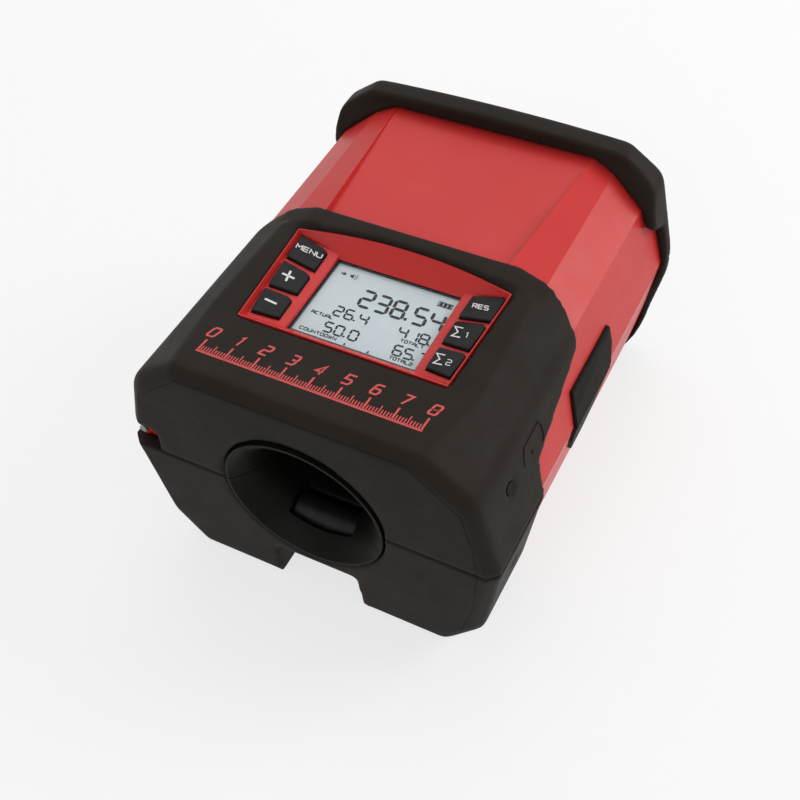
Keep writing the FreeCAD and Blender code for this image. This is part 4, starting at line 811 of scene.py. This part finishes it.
keyPlane = {"innerHalf": 0.0274, "innerHeight": 0.094, "slope": 0.1538, "slant": -0.17,
            "level": (-0.00003, 0.00004)}
legends = {    # letters, start, foot, width, height, pitch, pen, in metres from the middle of the display
    "key_mode": [("MENU", -0.0378, -0.0096, 0.002, 0.0019, 0.00262, 0.0004)],
    "key_plus": [("+", -0.0355, -0.0246, 0.0048, 0.0048, 0, 0.00078)],
    "key_minus": [("-", -0.0347, -0.0374, 0.0045, 0.005, 0, 0.00078)],
    "key_clear": [("RES", 0.03, -0.0103, 0.0015, 0.0018, 0.00206, 0.00038)],
    "key_total_1": [(["sum"], 0.0291, -0.0243, 0.0032, 0.0042, 0, 0.00048),
                    ("1", 0.0334, -0.0238, 0.0014, 0.0022, 0, 0.0003)],
    "key_total_2": [(["sum"], 0.0288, -0.0371, 0.0032, 0.0042, 0, 0.00048),
                    ("2", 0.0331, -0.0367, 0.0016, 0.0023, 0, 0.0003)],
}


def keyLegend(node, rows):
    # the keys' tops climb outwards, so a width along the slope is the level width times the slope's length
    side = 1 if rows[0][1] > 0 else -1
    inner, slope = keyPlane["innerHalf"], keyPlane["slope"]
    tilt = math.hypot(1, slope)
    parts = []
    for letters, x, y, wide, high, pitch, pen in rows:
        parts += written(letters, (x - side * inner) * tilt, y, wide * tilt, high, pitch * tilt, pen,
                         keyPlane["slant"], keyPlane["level"])
    plane = ((side * inner, 0, keyPlane["innerHeight"]), (1, 0, side * slope), (0, 1, 0))
    laid(node + "_legend", parts, plane, node, "whiteInk")


for node, rows in legends.items():
    keyLegend(node, rows)

# a red rule with plain numbers on the sloping deck in front of the display

deck = {"front": -0.0765, "rear": -0.0475, "frontHeight": 0.1018, "rearHeight": 0.097425}
rule = {"foot": -0.0672, "length": 80, "overrun": 0.0005, "pen": 0.001, "level": (-0.00004, 0.00007)}
ticks = [(10, 0.0058, 0.0007), (5, 0.0042, 0.00042), (1, 0.0026, 0.00042)]    # every so many mm: height, pen
ruleNumber = {"left": 0.0017, "foot": 0.0076, "wide": 0.0026, "high": 0.0045, "pen": 0.00075, "slant": 0.2}


def deckRule():
    # ticks each millimetre, longer ones each five and ten, with the number of centimetres over each long one
    level = rule["level"]
    half = rule["length"] * millimetre / 2
    parts = [ribbon([(-half - rule["overrun"], 0), (half + rule["overrun"], 0)], rule["pen"], *level)]
    for step in range(rule["length"] + 1):
        x = -half + step * millimetre
        high, pen = next((high, pen) for every, high, pen in ticks if step % every == 0)
        parts.append(ribbon([(x, 0), (x, high)], pen, *level))
        if step % 10 == 0:
            parts += written(str(step // 10), x - ruleNumber["left"], ruleNumber["foot"], ruleNumber["wide"],
                             ruleNumber["high"], 0, ruleNumber["pen"], ruleNumber["slant"], level)
    slope = (deck["rearHeight"] - deck["frontHeight"]) / (deck["rear"] - deck["front"])
    height = deck["frontHeight"] + slope * (rule["foot"] - deck["front"])
    plane = ((0, rule["foot"], height), (1, 0, 0), (0, 1, slope))
    laid("deck_rule", parts, plane, "front_cap_upper", "redInk")


deckRule()

# raised mark on the opening side of the front cap

sideMark = {
    "outline": [(-0.0486, 0.0195), (-0.0481, 0.0225), (-0.0463, 0.0258), (-0.035, 0.0262), (-0.034, 0.024),
                (-0.0338, 0.019), (-0.0356, 0.0172)],
    "pen": 0.0003, "dot": [(-0.0428, 0.0199), (-0.0418, 0.0199)], "dotPen": 0.0009,
    "level": (-0.0002, 0.00004), "lean": 0.2319, "sideHalf": 0.0705,
}


def raisedMark():
    # thin raised line and dot on the leaning side, whose half width shrinks with the height
    tilt = math.hypot(1, sideMark["lean"])
    strokes = [(sideMark["outline"], sideMark["pen"]), (sideMark["dot"], sideMark["dotPen"])]
    parts = [ribbon([(y, z * tilt) for y, z in path], pen, *sideMark["level"]) for path, pen in strokes]
    plane = ((sideMark["sideHalf"], 0, axisHeight), (0, 1, 0), (-sideMark["lean"], 0, 1))
    laid("side_mark", parts, plane, "front_cap_upper", "blackCap")


raisedMark()

print("lettering laid on")


# parts under the main board: bodies that taper a little, with leads on two or four sides

chips = [    # middle across, middle along, width, depth, height, leads a side, leads on all four sides
    (-0.008, -0.024, 0.01, 0.01, 0.0014, 11, True),
    (0.009, -0.037, 0.0076, 0.005, 0.0015, 7, False),
    (-0.026, -0.038, 0.005, 0.004, 0.0015, 4, False),
    (-0.028, -0.012, 0.0064, 0.005, 0.002, 5, False),
    (0.031, -0.034, 0.0044, 0.003, 0.0013, 3, False),
]
passives = [
    (-0.018, -0.019), (-0.018, -0.022), (-0.018, -0.025), (0.002, -0.019), (0.002, -0.029), (0.005, -0.014),
    (0.017, -0.03), (0.02, -0.03), (0.023, -0.03), (-0.02, -0.033), (-0.033, -0.022), (-0.033, -0.025),
    (0.03, -0.003), (0.026, -0.003), (-0.01, -0.006), (-0.006, -0.006), (0.012, -0.006),
]
chipLook = {"sink": 0.0001, "taper": 0.0004}
leadLook = {"spread": 0.42, "share": 0.42, "out": 0.0004, "length": 0.001, "rise": 0.45, "taper": 0.0001}
passiveLook = {"body": (0.0012, 0.0011, 0.0008), "end": (0.0004, 0.0012, 0.0009), "endPlace": 0.0008,
               "taper": 0.0001}


def tapered(middle, size, top, taper):
    # eight corners: a rectangle against the board, and a smaller one at the free end
    corner = np.array([(-1, -1), (1, -1), (1, 1), (-1, 1)]) / 2
    near = np.column_stack([corner * size[:2] + middle, np.full(4, top)])
    far = np.column_stack([corner * (np.array(size[:2]) - taper) + middle, np.full(4, top - size[2])])
    side = np.arange(4)
    walls = np.stack([side, (side + 1) % 4, (side + 1) % 4 + 4, side + 4], 1)
    return np.vstack([near, far]), np.vstack([[3, 2, 1, 0], [4, 5, 6, 7], walls])


def chipLeads(across, along, width, depth, height, count, allRound, top):
    # a lead at each of the evenly spaced places along the front and rear, and along both ends where it has them
    out, thick, rise = leadLook["out"], leadLook["share"] / count, height * leadLook["rise"]
    leads = []
    for place in np.linspace(-leadLook["spread"], leadLook["spread"], count):
        for end in (-1, 1):
            leads.append(tapered((across + place * width, along + end * (depth / 2 + out)),
                                 (width * thick, leadLook["length"], rise), top, leadLook["taper"]))
            if allRound:
                leads.append(tapered((across + end * (width / 2 + out), along + place * depth),
                                     (leadLook["length"], depth * thick, rise), top, leadLook["taper"]))
    return leads


def solderedParts():
    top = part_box("main_board")[0][2]
    bodies, leads = [], []
    for chip in chips:
        across, along, *size = chip[:5]
        bodies.append(tapered((across, along), size, top - chipLook["sink"], chipLook["taper"]))
        leads += chipLeads(*chip, top)
    taper = passiveLook["taper"]
    for across, along in passives:
        bodies.append(tapered((across, along), passiveLook["body"], top, taper))
        leads += [tapered((across + end * passiveLook["endPlace"], along), passiveLook["end"], top, taper)
                  for end in (-1, 1)]
    laid("board_chips", bodies, flatAt(0, 0, 0), "main_board", "rollerBlack")
    laid("board_leads", leads, flatAt(0, 0, 0), "main_board", "zinc")


solderedParts()

# the raised border and pole signs on top of the battery holder, and the sound hole of the buzzer, drawn as a
# dark ring of painted shade

holderMarks = {"inset": 0.0022, "pen": 0.0009, "sign": 0.0044, "signPen": 0.001, "signInset": 0.0035,
               "places": ((0.28, "+-"), (0.72, "-+")), "level": (-0.0002, 0.00045)}
soundHole = {"radius": 0.0007, "pen": 0.0013, "steps": 24, "level": (-0.0002, 0.00008)}


def holderBorder():
    # one pair of signs, at the front and at the rear, over each of the two cells
    lowest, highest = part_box("battery_holder")
    inset, level, size = holderMarks["inset"], holderMarks["level"], holderMarks["sign"]
    left, right, front, rear = lowest[0] + inset, highest[0] - inset, lowest[1] + inset, highest[1] - inset
    border = [(left, front), (right, front), (right, rear), (left, rear)]
    parts = [ribbon(border, holderMarks["pen"], *level, closed=True)]
    for place, signs in holderMarks["places"]:
        x = left + (right - left) * place - size / 2
        feet = (front + holderMarks["signInset"], rear - holderMarks["signInset"] - size)
        for sign, y in zip(signs, feet):
            parts += written(sign, x, y, size, size, 0, holderMarks["signPen"], 0, level)
    laid("holder_marks", parts, flatAt(0, 0, highest[2]), "battery_holder",
         finishOf["battery_holder"])


def buzzerPort():
    # a ring so thick that it nearly closes, on the underside of the buzzer, in the deepest black: painted shade
    # in place of the hole
    lowest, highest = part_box("buzzer")
    turn = np.linspace(0, 2 * math.pi, soundHole["steps"], endpoint=False)
    hole = np.stack([np.cos(turn), np.sin(turn)], 1) * soundHole["radius"]
    middle = ((lowest[0] + highest[0]) / 2, (lowest[1] + highest[1]) / 2, lowest[2])
    ring = ribbon(hole, soundHole["pen"], *soundHole["level"], closed=True)
    plane = (middle, (1, 0, 0), (0, -1, 0))
    laid("buzzer_port", [ring], plane, "buzzer", "darkFunnel")


holderBorder()
buzzerPort()
print("board parts soldered on")

# a trough under each end roller, which closes the window in the funnel from below; it is a dark piece in the
# funnel's deepest black that stands in for the shade inside the bore

pocket = {"inner": 0.0073, "wall": 0.0008, "half": 0.0122, "endWall": 0.00035, "place": 0.067,
          "height": 0.029, "lip": 0.55, "steps": 32}


def rollerPocket(name, side, node):
    # part of a pipe round the roller's axis, from level on the mouth side to a lip on the inner side: an inner
    # and an outer arc at each end, walls between them, and strips between opposite points of an arc at the ends
    turn = np.linspace(math.pi, 2 * math.pi + pocket["lip"], pocket["steps"])
    count = len(turn)

    def arc(radius, x):
        return np.column_stack([np.full(count, x), side * (pocket["place"] - radius * np.cos(turn)),
                                pocket["height"] + radius * np.sin(turn)])
    inner, outer = pocket["inner"], pocket["inner"] + pocket["wall"]
    near, far = pocket["half"], pocket["half"] + pocket["endWall"]
    points = np.vstack([arc(inner, -near), arc(outer, -far), arc(outer, far), arc(inner, near)])
    step = np.arange(count - 1)
    walls = [np.stack([step + count * a, step + 1 + count * a, step + 1 + count * b, step + count * b], 1)
             for a, b in ((1, 2), (3, 0))]
    half = np.arange(count // 2 - 1)
    strips = np.stack([half, half + 1, count - 2 - half, count - 1 - half], 1)
    first = count * np.arange(4)
    ends = [strips + start for start in first]
    last = first + count - 1
    rims = np.array([first, last, [first[0], last[0], last[1], first[1]],
                     [first[2], last[2], last[3], first[3]]])
    faces = np.vstack(walls + ends + [rims])
    laid(name, [(points, faces)], flatAt(0, 0, 0), node, "darkFunnel")


rollerPocket("front_roller_pocket", -1, "front_funnel_lower")
rollerPocket("rear_roller_pocket", 1, "rear_funnel_lower")
print("roller pockets fitted")

# the camera, by its place, its turn about the upright, its climb over level, its roll and its lens

view = {"place": (0.15421, -0.25806, 0.38323), "turn": 32.213, "climb": 50.286, "roll": -6.421,
        "lens": 54.563, "sensor": 36, "nearest": 0.01}
turn, climb, roll = (math.radians(view[name]) for name in ("turn", "climb", "roll"))
back = Vector((math.sin(turn) * math.cos(climb), -math.cos(turn) * math.cos(climb), math.sin(climb)))
right = Vector((math.cos(turn), math.sin(turn), 0))
up = back.cross(right).normalized()
across = right * math.cos(roll) + up * math.sin(roll)
upright = up * math.cos(roll) - right * math.sin(roll)
cameraData = bpy.data.cameras.new("camera")
cameraData.lens = view["lens"]
cameraData.sensor_width = view["sensor"]
cameraData.clip_start = view["nearest"]
camera = linked("camera", cameraData)
camera.matrix_world = Matrix.Translation(view["place"]) @ Matrix((across, upright, back)).transposed().to_4x4()
bpy.context.scene.camera = camera

# pale floor, which the camera sees as plain white apart from the shadow

def directRays(tree):
    # 1 for rays that come straight from the camera, from a mirror or through glass
    rays = tree.nodes.new("ShaderNodeLightPath")
    fromCamera, glossy, through = (Wire(tree, rays.outputs["Is %s Ray" % kind])
                                   for kind in ("Camera", "Glossy", "Transmission"))
    return fromCamera + glossy + through


def mixedSurface(tree, share, first, second, output):
    mix = tree.nodes.new("ShaderNodeMixShader")
    put(tree, mix.inputs[0], share)
    for place, shader in ((1, first), (2, second)):
        tree.links.new(shader.outputs[0], mix.inputs[place])
    tree.links.new(mix.outputs[0], tree.nodes[output].inputs["Surface"])


floorLook = {"half": 6.0, "least": 0.72, "near": 0.35, "far": 1.6}


def paleFloor():
    # matt white that glows in direct rays: by the least share close to the object, which keeps the shadow
    # light, and wholly from the far distance on
    finish = Finish("paleFloor")
    speck = finish.noise(size=0.01)
    finish.set(Base_Color=finish.tint(speck, rgb(0.8, 0.8, 0.8), rgb(0.84, 0.84, 0.84)), Roughness=0.9)
    glow = finish.node("ShaderNodeEmission", Color=rgb(1, 1, 1), Strength=1.0)
    length = finish.node("ShaderNodeVectorMath", {"operation": "LENGTH"}, slot0=finish.place)
    far = finish.ramp(Wire(finish.tree, length.outputs["Value"]), floorLook["near"], floorLook["far"])
    share = floorLook["least"] + far * (1 - floorLook["least"])
    mixedSurface(finish.tree, directRays(finish.tree) * share, finish.shader, glow, "Material Output")
    return finish.material


half = floorLook["half"]
floorMesh = bpy.data.meshes.new("floor")
floorCorners = [(-half, -half, 0), (half, -half, 0), (half, half, 0), (-half, half, 0)]
floorMesh.from_pydata(floorCorners, [], [(0, 1, 2, 3)])
floor = linked("floor", floorMesh)
floorMesh.materials.append(paleFloor())

# soft boxes: a large one over and behind the object, one to its right rear, which shines in the right chamfers,
# and a low one in front that fills the shadows

lamps = {
    "overhead": dict(place=(-0.3, 0.55, 1.2), size=1.1, power=6.2),
    "rightSide": dict(place=(1.02, 0.77, 0.7), size=0.7, power=10.5),
    "front": dict(place=(0.1, -1.3, 0.7), size=1.0, power=3.8),
}
lampAim = Vector((0, 0, 0.05))
worldGlow = 0.46
for name, lamp in lamps.items():
    data = bpy.data.lights.new(name, "AREA")
    data.shape = "SQUARE"
    data.size = lamp["size"]
    data.energy = lamp["power"]
    light = linked(name, data)
    light.location = lamp["place"]
    light.rotation_euler = (lampAim - Vector(lamp["place"])).to_track_quat("-Z", "Y").to_euler()

world = bpy.data.worlds.new("studio")
world.use_nodes = True
bpy.context.scene.world = world
skyTree = world.node_tree
glow = skyTree.nodes["Background"]
glow.inputs["Strength"].default_value = worldGlow
backdrop = skyTree.nodes.new("ShaderNodeBackground")    # plain white, for direct rays
for background in (glow, backdrop):
    background.inputs["Color"].default_value = rgb(1, 1, 1)
mixedSurface(skyTree, directRays(skyTree), glow, backdrop, "World Output")
bpy.context.scene.view_settings.view_transform = "Standard"
print("stage set")
